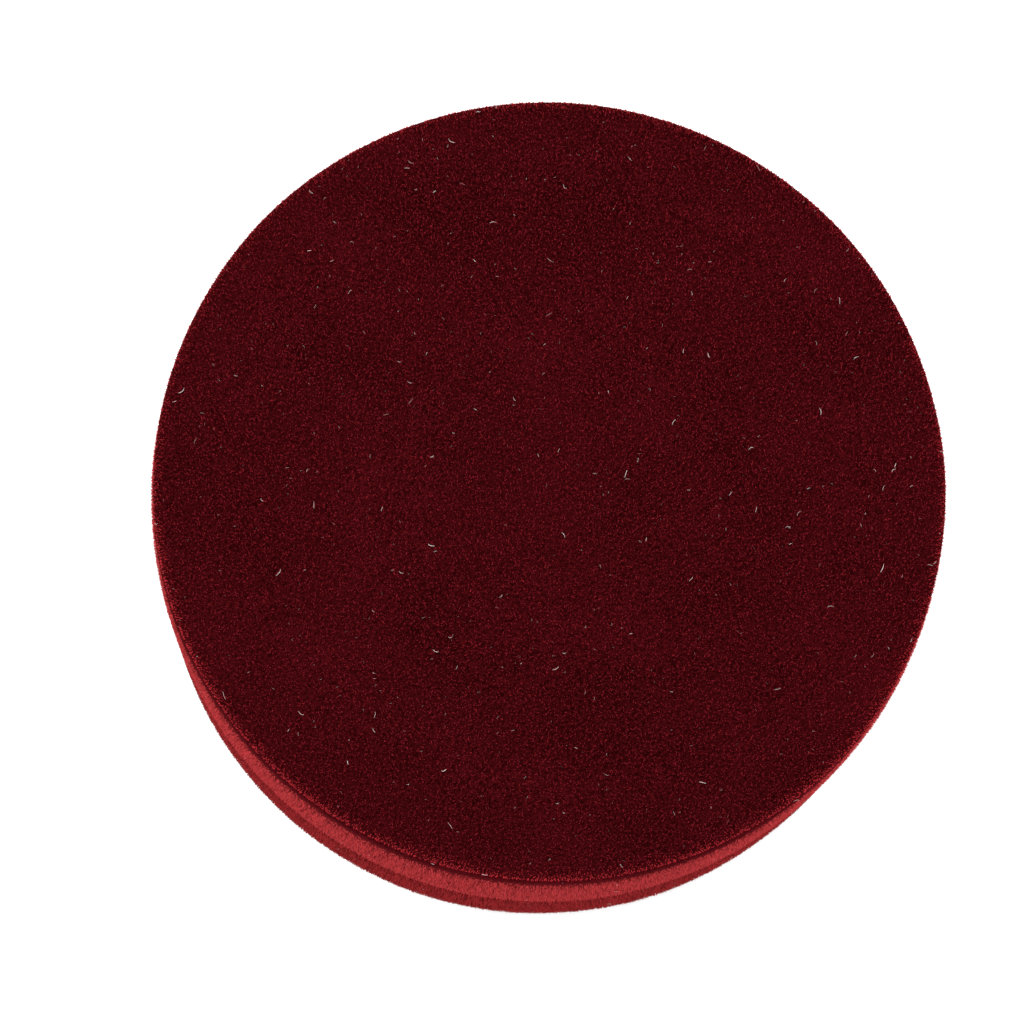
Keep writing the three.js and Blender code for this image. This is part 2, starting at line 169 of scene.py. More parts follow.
class Paint(NodeGraph):
    """A material's nodes, around its Principled node and the Object coordinates."""

    def __init__(self, name: str) -> None:
        """Starts a material.

        Args:
            name: the material's name.
        """
        self.material = bpy.data.materials.new(name)
        self.material.use_nodes = True
        super().__init__(self.material.node_tree)
        self.principled = self.tree.nodes["Principled BSDF"]
        self.place = self.add("ShaderNodeTexCoord").outputs["Object"]

    def noise(self, size_mm: float, detail: float = 2.0, place: Socket | None = None) -> Socket:
        """Noise on a place in metres.

        Args:
            size_mm: the size of one repeat.
            detail: octaves.
            place: the coordinates' socket, if they aren't the Object coordinates.

        Returns:
            The noise's value socket.
        """
        vector = self.place if place is None else place
        inputs = {"Vector": vector, "Scale": 1 / (size_mm * MM), "Detail": detail, "Roughness": 0.55}
        return self.add("ShaderNodeTexNoise", inputs).outputs[0]

    def blend(self, share: float, first: Socket, last: Socket) -> Socket:
        """Mixes two values."""
        return self.add("ShaderNodeMix", {"Factor": share, "A": first, "B": last}).outputs[0]

    def mixed_colour(self, share: Socket, first: Socket, last: Socket) -> Socket:
        """Mixes two colours."""
        return self.add("ShaderNodeMix", {0: share, 6: first, 7: last}, data_type="RGBA").outputs[2]

    def attribute(self, name: str) -> Socket:
        """The value of a named attribute."""
        return self.add("ShaderNodeAttribute", attribute_name=name).outputs["Fac"]

    def ramp(self, value: Socket, low: float, first: Colour, high: float, last: Colour) -> Socket:
        """A ramp between two colours.

        Args:
            value: the socket that drives it.
            low: where the first colour ends, from 0 to 1.
            first: the first colour.
            high: where the last colour starts.
            last: the last colour.

        Returns:
            The ramp's colour socket.
        """
        node = self.add("ShaderNodeValToRGB", {"Fac": value})
        for element, place, colour in zip(node.color_ramp.elements, (low, high), (first, last)):
            element.position = place
            element.color = (*colour, 1.0)
        return node.outputs[0]

    def bump(self, height: Socket, depth_mm: float, strength: float) -> None:
        """Puts a bump on the material, from a height that runs from 0 to 1."""
        inputs = {"Height": height, "Distance": depth_mm * MM, "Strength": strength}
        self.feed(self.principled.inputs["Normal"], self.add("ShaderNodeBump", inputs).outputs[0])

    def give(self, values: dict[str, object]) -> bpy.types.Material:
        """Feeds the Principled node.

        Args:
            values: a socket to link from, or a plain value, for each of its inputs by name.

        Returns:
            The material.
        """
        for name, value in values.items():
            self.feed(self.principled.inputs[name], value)
        return self.material


# ---------------------------------------------------------------- finishes


@dataclass(frozen=True)
class VelvetFinish:
    """Cloth under the pile: dark where it is bare, and painted paler where the pile stands, if the finish
    says so; the paler cloth is painted light and the dark bare cloth is painted shade.
    """

    name: str
    deep: Colour
    bright: Colour
    sheen: float
    sheen_tint: Colour
    grain_mm: float = 0.35
    mottle_mm: float = 14.0
    mottle: float = 0.2
    ramp: Point = (0.39, 0.67)
    bump_mm: float = 0.12
    # Paler colours for cloth where the pile stands: painted light; bare cloth keeps the darker colours, a
    # painted shade.
    painted_light_under_pile: tuple[Colour, Colour] | None = None

    def material(self) -> bpy.types.Material:
        """Makes the material.

        Returns:
            A material on Object coordinates, and on the cloth's share of pile.
        """
        paint = Paint(self.name)
        grain = paint.noise(self.grain_mm, 3.0)
        mixed = paint.blend(self.mottle, grain, paint.noise(self.mottle_mm, 2.0))
        low, high = self.ramp
        colour = paint.ramp(mixed, low, self.deep, high, self.bright)
        # Painted light and shade: paler cloth where the pile share is high, darker where the cloth is bare.
        if self.painted_light_under_pile:
            deep, bright = self.painted_light_under_pile
            painted_light_cloth = paint.ramp(mixed, low, deep, high, bright)
            colour = paint.mixed_colour(paint.attribute(PILE_ATTRIBUTE), colour, painted_light_cloth)
        paint.bump(grain, self.bump_mm, 0.9)
        return paint.give({
            "Base Color": colour, "Roughness": paint.spread(grain, 0.8, 1.0), "Specular IOR Level": 0.0,
            "Sheen Weight": self.sheen, "Sheen Roughness": 0.45, "Sheen Tint": self.sheen_tint,
        })


@dataclass(frozen=True)
class PileFinish:
    """The standing fibres of a velvet: clumps and single fibres differ, and a rim may carry a paler painted
    highlight.
    """

    name: str
    shade: Colour
    light: Colour
    sheen: float
    sheen_tint: Colour
    clump_mm: float = 0.42
    patch_mm: float = 24.0
    patch: float = 0.1
    single: float = 0.45
    ramp: Point = (0.34, 0.66)
    # rim and the two fields after it: a painted highlight, blended in by radius, that makes the fibres near
    # the panel's edge paler.
    rim: Colour | None = None
    rim_highlight_ramp: Point = (0.3, 0.6)
    rim_highlight_radii_mm: Point = (47.9, 49.3)

    def material(self) -> bpy.types.Material:
        """Makes the material.

        Returns:
            A material on Object coordinates, and on each fibre's own tone.
        """
        paint = Paint(self.name)
        clump = paint.noise(self.clump_mm, 1.5)
        mixed = paint.blend(self.patch, clump, paint.noise(self.patch_mm, 3.0))
        tone = paint.spread(paint.attribute(TONE_ATTRIBUTE), 0.25, 0.75)
        mixed = paint.blend(self.single, mixed, tone)
        low, high = self.ramp
        colour = paint.ramp(mixed, low, self.shade, high, self.light)
        # Painted highlight: fibres between the two radii are blended towards the paler rim colour.
        if self.rim:
            flat = {0: paint.place, 1: (1.0, 1.0, 0.0)}
            flat = paint.add("ShaderNodeVectorMath", flat, operation="MULTIPLY").outputs[0]
            radius = paint.add("ShaderNodeVectorMath", {0: flat}, operation="LENGTH").outputs["Value"]
            inner, outer = self.rim_highlight_radii_mm
            reach = {"Value": radius, "From Min": inner * MM, "From Max": outer * MM}
            share = paint.add("ShaderNodeMapRange", reach).outputs[0]
            low, high = self.rim_highlight_ramp
            colour = paint.mixed_colour(share, colour, paint.ramp(mixed, low, self.light, high, self.rim))
        return paint.give({
            "Base Color": colour, "Roughness": paint.spread(clump, 0.7, 0.95), "Specular IOR Level": 0.0,
            "Sheen Weight": self.sheen, "Sheen Roughness": 0.4, "Sheen Tint": self.sheen_tint,
        })


@dataclass(frozen=True)
class LintFinish:
    """Loose pale threads that lie on the velvet."""

    name: str = "pale_lint"
    light: Colour = (1.0, 0.92, 0.87)
    dull: Colour = (0.45, 0.22, 0.2)
    patch_mm: float = 2.5

    def material(self) -> bpy.types.Material:
        """Makes the material.

        Returns:
            A material on Object coordinates.
        """
        paint = Paint(self.name)
        colour = paint.ramp(paint.noise(self.patch_mm, 1.0), 0.35, self.dull, 0.6, self.light)
        return paint.give({"Base Color": colour, "Roughness": 0.5})


@dataclass(frozen=True)
class MetalFinish:
    """Metal with fine brushing along X, and a duller film in patches."""

    name: str
    bright: Colour
    dull: Colour
    roughness: Point
    brushing_mm: float = 0.12
    brushing_stretch: float = 0.06
    film_mm: float = 2.2

    def material(self) -> bpy.types.Material:
        """Makes the material.

        Returns:
            A material on Object coordinates.
        """
        paint = Paint(self.name)
        stretch = {"Vector": paint.place, "Scale": (self.brushing_stretch, 1.0, 1.0)}
        along = paint.add("ShaderNodeMapping", stretch).outputs[0]
        film = paint.noise(self.film_mm, 3.0)
        paint.bump(paint.noise(self.brushing_mm, 2.0, along), 0.01, 0.5)
        return paint.give({
            "Base Color": paint.ramp(film, 0.35, self.bright, 0.72, self.dull),
            "Roughness": paint.spread(film, *self.roughness), "Metallic": 1.0,
        })


@dataclass(frozen=True)
class GrainFinish:
    """A dull material with flecks: board, foam, moulded plastic or paper."""

    name: str
    light: Colour
    dark: Colour
    fleck_mm: float
    roughness: Point
    bump_mm: float = 0.03
    pored: bool = False

    def material(self) -> bpy.types.Material:
        """Makes the material.

        Returns:
            A material on Object coordinates.
        """
        paint = Paint(self.name)
        if self.pored:
            inputs = {"Vector": paint.place, "Scale": 1 / (self.fleck_mm * MM)}
            fleck = paint.add("ShaderNodeTexVoronoi", inputs).outputs["Distance"]
        else:
            fleck = paint.noise(self.fleck_mm, 4.0)
        paint.bump(fleck, self.bump_mm, 0.6)
        return paint.give({
            "Base Color": paint.ramp(fleck, 0.3, self.dark, 0.62, self.light),
            "Roughness": paint.spread(fleck, *self.roughness),
        })


@dataclass(frozen=True)
class MirrorFinish:
    """Silvered glass with a faint film of dust."""

    name: str = "silvered_glass"
    tint: Colour = (0.88, 0.9, 0.9)
    dusty: Colour = (0.8, 0.81, 0.82)
    film_mm: float = 7.0

    def material(self) -> bpy.types.Material:
        """Makes the material.

        Returns:
            A material on Object coordinates.
        """
        paint = Paint(self.name)
        film = paint.noise(self.film_mm, 4.0)
        return paint.give({
            "Base Color": paint.ramp(film, 0.4, self.tint, 0.75, self.dusty),
            "Roughness": paint.spread(film, 0.015, 0.07, 0.4), "Metallic": 1.0,
        })


RED_SHEEN: Colour = (1.0, 0.12, 0.13)
PINK_SHEEN: Colour = (1.0, 0.3, 0.3)
OUTER_CLOTH = VelvetFinish("burgundy_velvet", (0.013, 0.0006, 0.001), (0.053, 0.0025, 0.004), 0.05, RED_SHEEN)
# Lit and shaded copies of one burgundy pile: the top's is a darker copy, painted shade for velvet seen
# end-on; the lid wall's is a paler copy, painted sheen for velvet seen at a glancing angle; the base wall's
# is a dimmer copy of the lid wall's painted sheen.
TOP_PILE_SHADE_AND_RIM_HIGHLIGHT = PileFinish(
    "top_pile", (0.02, 0.001, 0.0019), (0.355, 0.0205, 0.0325), 0.1, RED_SHEEN, patch=0.04,
    # The rim colour is a painted highlight on the fibres round the top panel's edge.
    rim=(0.52, 0.032, 0.039),
)
LID_PILE_PAINTED_SHEEN = PileFinish(
    "lid_wall_pile", (0.15, 0.0095, 0.012), (0.54, 0.049, 0.054), 0.25, PINK_SHEEN, 0.34, single=0.7,
)
BASE_PILE_PAINTED_DIMMER_SHEEN = PileFinish(
    "base_wall_pile", (0.095, 0.0048, 0.006), (0.375, 0.0275, 0.031), 0.2, PINK_SHEEN, 0.34, single=0.7,
)
# The wall cloth is painted paler under its pile (painted light) and stays dark where bare, which paints the
# shade in the groove under the top panel's edge.
WALL_CLOTH_PAINTED_LIGHT_AND_SHADE = VelvetFinish(
    "burgundy_wall_velvet", (0.018, 0.0007, 0.0014), (0.06, 0.0022, 0.004), 0.05, RED_SHEEN,
    painted_light_under_pile=((0.05, 0.003, 0.0036), (0.15, 0.01, 0.0125)),
)
INNER_CLOTH = VelvetFinish(
    "lining_velvet", (0.03, 0.001, 0.002), (0.08, 0.003, 0.005), 0.1, RED_SHEEN, grain_mm=0.28,
)
INNER_PILE = PileFinish("lining_pile", (0.07, 0.002, 0.004), (0.3, 0.013, 0.018), 0.2, RED_SHEEN)
BRASS = MetalFinish("dulled_brass", (0.76, 0.52, 0.2), (0.42, 0.27, 0.1), (0.22, 0.5))
NICKEL = MetalFinish("nickel_plate", (0.62, 0.62, 0.6), (0.42, 0.41, 0.39), (0.15, 0.35))
BLACK_PLASTIC = GrainFinish("dark_plastic", (0.03, 0.016, 0.017), (0.012, 0.007, 0.008), 0.8, (0.45, 0.65))
GREY_BOARD = GrainFinish("grey_board", (0.36, 0.31, 0.25), (0.17, 0.145, 0.12), 0.5, (0.85, 1.0))
PALE_FOAM = GrainFinish("pale_foam", (0.8, 0.75, 0.66), (0.45, 0.41, 0.34), 0.6, (0.9, 1.0), 0.15, True)
WHITE_PAPER = GrainFinish("white_paper", (0.93, 0.93, 0.93), (0.9, 0.9, 0.9), 3.0, (0.85, 0.95), 0.01)


@lru_cache(maxsize=None)
def material_of(finish: object) -> bpy.types.Material:
    """The material of a finish, made once."""
    return finish.material()


def dress(piece: Piece, finish: object) -> None:
    """Gives a piece one finish all over."""
    piece.data.materials.clear()
    piece.data.materials.append(material_of(finish))


# ---------------------------------------------------------------- shapes


def arc(centre: Point, radii: Point, start: float, stop: float, pile: float = 0.0, steps: int = 8) -> Outline:
    """Points of (radius, z, pile) along an arc or part of an oval, between two angles in degrees."""
    angles = [math.radians(start + (stop - start) * i / steps) for i in range(steps + 1)]
    return [(centre[0] + radii[0] * math.cos(a), centre[1] + radii[1] * math.sin(a), pile) for a in angles]


def divided(points: Outline, longest: float) -> Outline:
    """A closed outline with its long edges cut into short ones.

    Args:
        points: the outline.
        longest: the longest edge that stays whole.

    Returns:
        The outline with more points.
    """
    made: Outline = []
    for first, last in zip(points, points[1:] + points[:1]):
        pieces = max(1, math.ceil(math.hypot(last[0] - first[0], last[1] - first[1]) / longest))
        for i in range(pieces):
            made.append(tuple(f + (g - f) * i / pieces for f, g in zip(first, last)))
    return made


def flipped(points: Outline, level: float) -> Outline:
    """The outline turned upside down about a level."""
    return [(r, 2 * level - z, pile) for r, z, pile in points]


def half_outline(points: Outline) -> float:
    """Half the length round a closed outline, which is the width of the cloth that it is the section of."""
    pairs = zip(points, points[1:] + points[:1])
    return sum(math.hypot(b[0] - a[0], b[1] - a[1]) for a, b in pairs) / 2


def mesh_piece(name: str, mesh: bmesh.types.BMesh, smooth: bool = True) -> Piece:
    """Turns a bmesh into an object, with its faces pointing out.

    Args:
        name: the object's name.
        mesh: the bmesh, which is freed.
        smooth: whether the faces are shaded smooth up to the sharp angle.

    Returns:
        The object, linked to the scene.
    """
    bmesh.ops.remove_doubles(mesh, verts=mesh.verts, dist=1e-7)
    bmesh.ops.recalc_face_normals(mesh, faces=mesh.faces)
    data = bpy.data.meshes.new(name)
    mesh.to_mesh(data)
    mesh.free()
    data.polygons.foreach_set("use_smooth", [smooth] * len(data.polygons))
    data.set_sharp_from_angle(angle=SHARP_ANGLE)
    piece = bpy.data.objects.new(name, data)
    bpy.context.scene.collection.objects.link(piece)
    return piece


def skin(mesh: bmesh.types.BMesh, rings: Rings, closed: bool = False, capped: bool = False) -> None:
    """Joins each ring of vertices to the next with faces.

    Args:
        mesh: the bmesh that holds the vertices.
        rings: rings of one count, or of a single vertex at a pole.
        closed: whether the last ring is joined to the first.
        capped: whether the first and the last ring each get a face.
    """
    around = max(len(ring) for ring in rings)
    for ring, follows in zip(rings, rings[1:] + rings[:1] if closed else rings[1:]):
        if len(ring) == len(follows) == 1:
            continue
        for k in range(around):
            n = (k + 1) % around
            corners = [ring[k % len(ring)], ring[n % len(ring)]]
            corners += [follows[n % len(follows)], follows[k % len(follows)]]
            mesh.faces.new(list(dict.fromkeys(corners)))
    if capped:
        mesh.faces.new(rings[0])
        mesh.faces.new(rings[-1])


def turned_shape(name: str, outline: Outline, segments: int = ROUND_SEGMENTS) -> Piece:
    """Turns an outline about the Z axis.

    Args:
        name: the object's name.
        outline: a closed outline, or one whose two ends lie on the axis.
        segments: how many steps round.

    Returns:
        A closed mesh object that stores the share of pile.
    """
    mesh = bmesh.new()
    layer = mesh.verts.layers.float.new(PILE_ATTRIBUTE)
    rings: Rings = []
    for r, z, pile in outline:
        count = 1 if r < 1e-9 else segments
        angles = [2 * math.pi * k / segments for k in range(count)]
        rings.append([mesh.verts.new((r * math.cos(a), r * math.sin(a), z)) for a in angles])
        for vert in rings[-1]:
            vert[layer] = pile
    skin(mesh, rings, closed=True)
    return mesh_piece(name, mesh)


def settle(piece: Piece) -> None:
    """Turns a piece's modifiers into plain mesh.

    Args:
        piece: a mesh object with modifiers.
    """
    graph = bpy.context.evaluated_depsgraph_get()
    made = bpy.data.meshes.new_from_object(piece.evaluated_get(graph))
    piece.modifiers.clear()
    old = piece.data
    piece.data = made
    bpy.data.meshes.remove(old)
    made.name = piece.name


def box_cutter(low: Vector, high: Vector, rounding: float) -> Piece:
    """A block with rounded edges, for cutting.

    Args:
        low: its lowest corner.
        high: its highest corner.
        rounding: the radius of its edges.

    Returns:
        The cutter object.
    """
    mesh = bmesh.new()
    bmesh.ops.create_cube(mesh, size=1.0)
    size, middle = high - low, (high + low) / 2
    matrix = Matrix.Translation(middle) @ Matrix.Diagonal((*size, 1.0))
    bmesh.ops.transform(mesh, matrix=matrix, verts=mesh.verts)
    cutter = mesh_piece("cutter", mesh, smooth=False)
    edge = cutter.modifiers.new("edge", "BEVEL")
    edge.width, edge.segments = rounding, 4
    settle(cutter)
    return cutter


def combine(piece: Piece, other: Piece, operation: str) -> None:
    """Joins another solid to a piece, or cuts it out, and deletes the other.

    Args:
        piece: the piece that is kept.
        other: the solid that is used up.
        operation: UNION, DIFFERENCE or INTERSECT.
    """
    cut = piece.modifiers.new("cut", "BOOLEAN")
    cut.operation, cut.solver, cut.object = operation, "EXACT", other
    settle(piece)
    data = other.data
    bpy.data.objects.remove(other)
    bpy.data.meshes.remove(data)


def vertex_places(piece: Piece) -> np.ndarray:
    """The piece's vertices as an array of rows."""
    places = np.empty(len(piece.data.vertices) * 3)
    piece.data.vertices.foreach_get("co", places)
    return places.reshape(-1, 3)


def vertex_normals(piece: Piece) -> np.ndarray:
    """The piece's vertex normals as an array of rows."""
    normals = np.array([v.vector[:] for v in piece.data.vertex_normals])
    return normals.reshape(-1, 3)


def move_vertices(piece: Piece, places: np.ndarray) -> None:
    """Puts the piece's vertices at new places."""
    piece.data.vertices.foreach_set("co", places.reshape(-1))
    piece.data.update()


def roughen(piece: Piece, height: float, wavelength: float, seed: float) -> None:
    """Makes a surface gently uneven, along its normals.

    Args:
        piece: a mesh object.
        height: the greatest rise or fall.
        wavelength: the size of one rise, in metres.
        seed: an offset that makes each piece's own pattern.
    """
    places, normals = vertex_places(piece), vertex_normals(piece)
    shift = Vector((seed, seed * 0.7, -seed))
    rise = np.array([noise.noise(Vector(p) / wavelength + shift) for p in places])
    move_vertices(piece, places + normals * (rise * height)[:, None])


def shares_of(piece: Piece) -> np.ndarray:
    """The share of pile that each vertex stores."""
    shares = np.empty(len(piece.data.vertices))
    piece.data.attributes[PILE_ATTRIBUTE].data.foreach_get("value", shares)
    return shares


def set_shares(piece: Piece, shares: np.ndarray) -> None:
    """Stores the share of pile at each vertex, from 0 to 1."""
    layers = piece.data.attributes
    layer = layers.get(PILE_ATTRIBUTE) or layers.new(PILE_ATTRIBUTE, "FLOAT", "POINT")
    layer.data.foreach_set("value", shares.clip(0, 1))


def puff(piece: Piece, held: np.ndarray, limit: float, frames: int = 20) -> None:
    """Swells a stuffed piece by a cloth simulation, then smooths it with one subdivision.

    Args:
        piece: a closed mesh object of small faces.
        held: which vertices stay where they are.
        limit: the most that any point may move, in metres.
        frames: how many steps of the simulation.
    """
    before = vertex_places(piece)
    group = piece.vertex_groups.new(name="held")
    group.add(np.flatnonzero(held).tolist(), 1.0, "REPLACE")
    cloth = piece.modifiers.new("cloth", "CLOTH")
    cloth.settings.use_pressure = True
    cloth.settings.uniform_pressure_force = STUFFING_PRESSURE
    cloth.settings.vertex_group_mass = group.name
    cloth.settings.effector_weights.gravity = 0.0
    cloth.point_cache.frame_start, cloth.point_cache.frame_end = 1, frames
    for step in range(1, frames + 1):
        bpy.context.scene.frame_set(step)
    settle(piece)
    bpy.context.scene.frame_set(1)
    move = vertex_places(piece) - before
    furthest = np.linalg.norm(move, axis=1).max()
    log.info("%s: swells by up to %.2f mm before the cap", piece.name, furthest / MM)
    move_vertices(piece, before + move * min(1.0, limit / max(furthest, 1e-9)))
    piece.vertex_groups.clear()
    smooth = piece.modifiers.new("smooth", "SUBSURF")
    smooth.levels = smooth.render_levels = 1
    settle(piece)


def bake_places(piece: Piece, wrapped: bool) -> None:
    """Gives a piece of standing fibres a flat map, seen from above or unrolled from about the Z axis.

    Args:
        piece: the fibres' mesh object.
        wrapped: whether it is unrolled.
    """
    data = piece.data
    places = vertex_places(piece)
    corners = np.empty(len(data.loops), dtype=np.int64)
    data.loops.foreach_get("vertex_index", corners)
    firsts = np.empty(len(data.polygons), dtype=np.int64)
    data.polygons.foreach_get("loop_start", firsts)
    sizes = np.diff(np.append(firsts, len(corners)))
    low, high = places.min(0), places.max(0)
    if wrapped:
        turn = np.arctan2(places[:, 1], places[:, 0])[corners]
        first = np.repeat(turn[firsts], sizes)
        turn = first + (turn - first + math.pi) % (2 * math.pi) - math.pi
        across = (turn / (2 * math.pi) + 0.5).clip(0, 1)
        along = ((places[:, 2] - low[2]) / (high[2] - low[2]))[corners]
    else:
        across, along = ((places - low) / (high - low))[corners][:, :2].T
    layer = data.uv_layers.new(name="OFBake")
    layer.uv.foreach_set("vector", np.column_stack([across, along]).astype(np.float32).reshape(-1))


def place_piece(piece: Piece, body: Body, slot: Slot, *nodes: str) -> None:
    """Makes a piece ride on its body and stand for its CAD nodes, and reports it.

    Args:
        piece: a finished mesh object.
        body: the body that it moves with.
        slot: the record's material slot; not used.
        *nodes: the CAD nodes that it stands for.
    """
    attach(piece, body.value)
    if nodes:
        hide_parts(*nodes)
    log.info("%s: %d faces on %s", piece.name, len(piece.data.polygons), body.value)


# ---------------------------------------------------------------- geometry nodes


class ScatterTree:
    """A geometry node group with named inputs, which is applied to a surface and gives a plain mesh."""

    def __init__(self, name: str, inputs: list[tuple[str, str]]) -> None:
        """Starts the group.

        Args:
            name: the group's name.
            inputs: a name and a socket type for each input after the geometry.
        """
        self.tree = bpy.data.node_groups.new(name, "GeometryNodeTree")
        face = self.tree.interface
        self.sockets: dict[str, str] = {}
        face.new_socket("Surface", in_out="INPUT", socket_type="NodeSocketGeometry")
        for label, kind in inputs:
            self.sockets[label] = face.new_socket(label, in_out="INPUT", socket_type=kind).identifier
        face.new_socket("Mesh", in_out="OUTPUT", socket_type="NodeSocketGeometry")
        self.graph = NodeGraph(self.tree)
        self.inputs = self.graph.add("NodeGroupInput").outputs

    def share(self) -> Socket:
        """The surface's share of pile."""
        name = {"Name": PILE_ATTRIBUTE}
        return self.graph.add("GeometryNodeInputNamedAttribute", name, data_type="FLOAT").outputs[0]

    def points(self, share: Socket) -> bpy.types.Node:
        """Scatters points on the surface, as the Density and Seed inputs say.

        Args:
            share: how much of that density holds at each place.

        Returns:
            The node that gives the points, their normals and their rotations.
        """
        inputs = {
            "Mesh": self.inputs["Surface"], "Density": self.graph.product(share, self.inputs["Density"]),
            "Seed": self.inputs["Seed"],
        }
        return self.graph.add("GeometryNodeDistributePointsOnFaces", inputs)

    def random(self, low: float, high: float) -> Socket:
        """A number between two others, picked for each point from the Seed input."""
        inputs = {2: low, 3: high, "Seed": self.inputs["Seed"]}
        return self.graph.add("FunctionNodeRandomValue", inputs).outputs[1]

    def spin(self) -> Socket:
        """A rotation about the Z axis, picked for each point."""
        inputs = {"Axis": (0.0, 0.0, 1.0), "Angle": self.random(0.0, 2 * math.pi)}
        return self.graph.add("FunctionNodeAxisAngleToRotation", inputs).outputs[0]

    def scaled(self, vector: Socket, factor: Socket) -> Socket:
        """A vector times a number."""
        inputs = {0: vector, "Scale": factor}
        return self.graph.add("ShaderNodeVectorMath", inputs, operation="SCALE").outputs[0]

    def total(self, first: Socket, last: Socket) -> Socket:
        """The sum of two vectors."""
        return self.graph.add("ShaderNodeVectorMath", {0: first, 1: last}, operation="ADD").outputs[0]

    def close(self, instances: Socket) -> None:
        """Ends the tree in Realize Instances and Set Material.

        Args:
            instances: the socket that holds the instances.
        """
        real = self.graph.add("GeometryNodeRealizeInstances", {0: instances}).outputs[0]
        inputs = {"Geometry": real, "Material": self.inputs["Material"]}
        dressed = self.graph.add("GeometryNodeSetMaterial", inputs).outputs[0]
        self.graph.add("NodeGroupOutput", {0: dressed})

    def apply(self, name: str, surface: Piece, values: dict[str, object]) -> Piece:
        """Runs the group on a surface.

        Args:
            name: the new piece's name.
            surface: the mesh object that points are scattered on.
            values: a value for each named input.

        Returns:
            A plain mesh object.
        """
        piece = bpy.data.objects.new(name, surface.data.copy())
        bpy.context.scene.collection.objects.link(piece)
        modifier = piece.modifiers.new("scatter", "NODES")
        modifier.node_group = self.tree
        for label, value in values.items():
            modifier[self.sockets[label]] = value
        settle(piece)
        return piece


def build_pile_tree() -> ScatterTree:
    """The tree that stands closed three-sided fibres on a surface, shorter where its share of pile is small.

    Returns:
        The tree, with inputs for the fibres' sizes, lean and seed.
    """
    scatter = ScatterTree("standing_pile", [
        ("Density", "NodeSocketFloat"), ("Length", "NodeSocketFloat"), ("Width", "NodeSocketFloat"),
        ("Nap", "NodeSocketVector"), ("Scatter", "NodeSocketFloat"), ("Seed", "NodeSocketInt"),
        ("Material", "NodeSocketMaterial"),
    ])
    graph, given = scatter.graph, scatter.inputs
    share = scatter.share()
    points = scatter.points(graph.product(share, 5.0, clamped=True))
    loose = graph.add("FunctionNodeRandomValue", {
        0: (-1.0, -1.0, -1.0), 1: (1.0, 1.0, 1.0), "Seed": given["Seed"],
    }, data_type="FLOAT_VECTOR").outputs[0]
    lean = scatter.total(points.outputs["Normal"], given["Nap"])
    lean = scatter.total(lean, scatter.scaled(loose, given["Scatter"]))
    rotation = graph.add("FunctionNodeAlignRotationToVector", {
        "Rotation": scatter.spin(), "Vector": lean,
    }, axis="Z").outputs[0]
    length = graph.product(graph.product(scatter.random(0.7, 1.25), given["Length"]), share)
    size = graph.add("ShaderNodeCombineXYZ", {0: given["Width"], 1: given["Width"], 2: length}).outputs[0]
    fibre = graph.add("GeometryNodeMeshCone", {
        "Vertices": 3, "Radius Top": 0.0, "Radius Bottom": 0.5, "Depth": 1.0,
    }).outputs[0]
    standing = graph.add("GeometryNodeInstanceOnPoints", {
        "Points": points.outputs["Points"], "Instance": fibre, "Rotation": rotation, "Scale": size,
    }).outputs[0]
    toned = graph.add("GeometryNodeStoreNamedAttribute", {
        "Geometry": standing, "Name": TONE_ATTRIBUTE, "Value": scatter.random(0.0, 1.0),
    }, data_type="FLOAT", domain="INSTANCE").outputs[0]
    scatter.close(toned)
    return scatter


def build_lint_tree() -> ScatterTree:
    """The tree that lays loose threads, picked from a few shapes, on a surface.

    Returns:
        The tree, with inputs for the shapes, their number and the seed.
    """
    scatter = ScatterTree("loose_lint", [
        ("Threads", "NodeSocketCollection"), ("Density", "NodeSocketFloat"), ("Lift", "NodeSocketFloat"),
        ("Seed", "NodeSocketInt"), ("Material", "NodeSocketMaterial"),
    ])
    graph, given = scatter.graph, scatter.inputs
    points = scatter.points(scatter.share())
    lift = scatter.scaled(points.outputs["Normal"], given["Lift"])
    raised = graph.add("GeometryNodeSetPosition", {
        "Geometry": points.outputs["Points"], "Offset": lift,
    }).outputs[0]
    rotation = graph.add("FunctionNodeRotateRotation", {
        "Rotation": points.outputs["Rotation"], "Rotate By": scatter.spin(),
    }, rotation_space="LOCAL").outputs[0]
    threads = graph.add("GeometryNodeCollectionInfo", {
        "Collection": given["Threads"], "Separate Children": True, "Reset Children": True,
    }).outputs[0]
    chance = {0: scatter.random(0.0, 1.0), 1: 5.0}
    size = graph.spread(graph.add("ShaderNodeMath", chance, operation="POWER").outputs[0], 0.4, 1.5)
    laid = graph.add("GeometryNodeInstanceOnPoints", {
        "Points": raised, "Instance": threads, "Pick Instance": True, "Rotation": rotation, "Scale": size,
    }).outputs[0]
    scatter.close(laid)
    return scatter


# ---------------------------------------------------------------- velvet surfaces


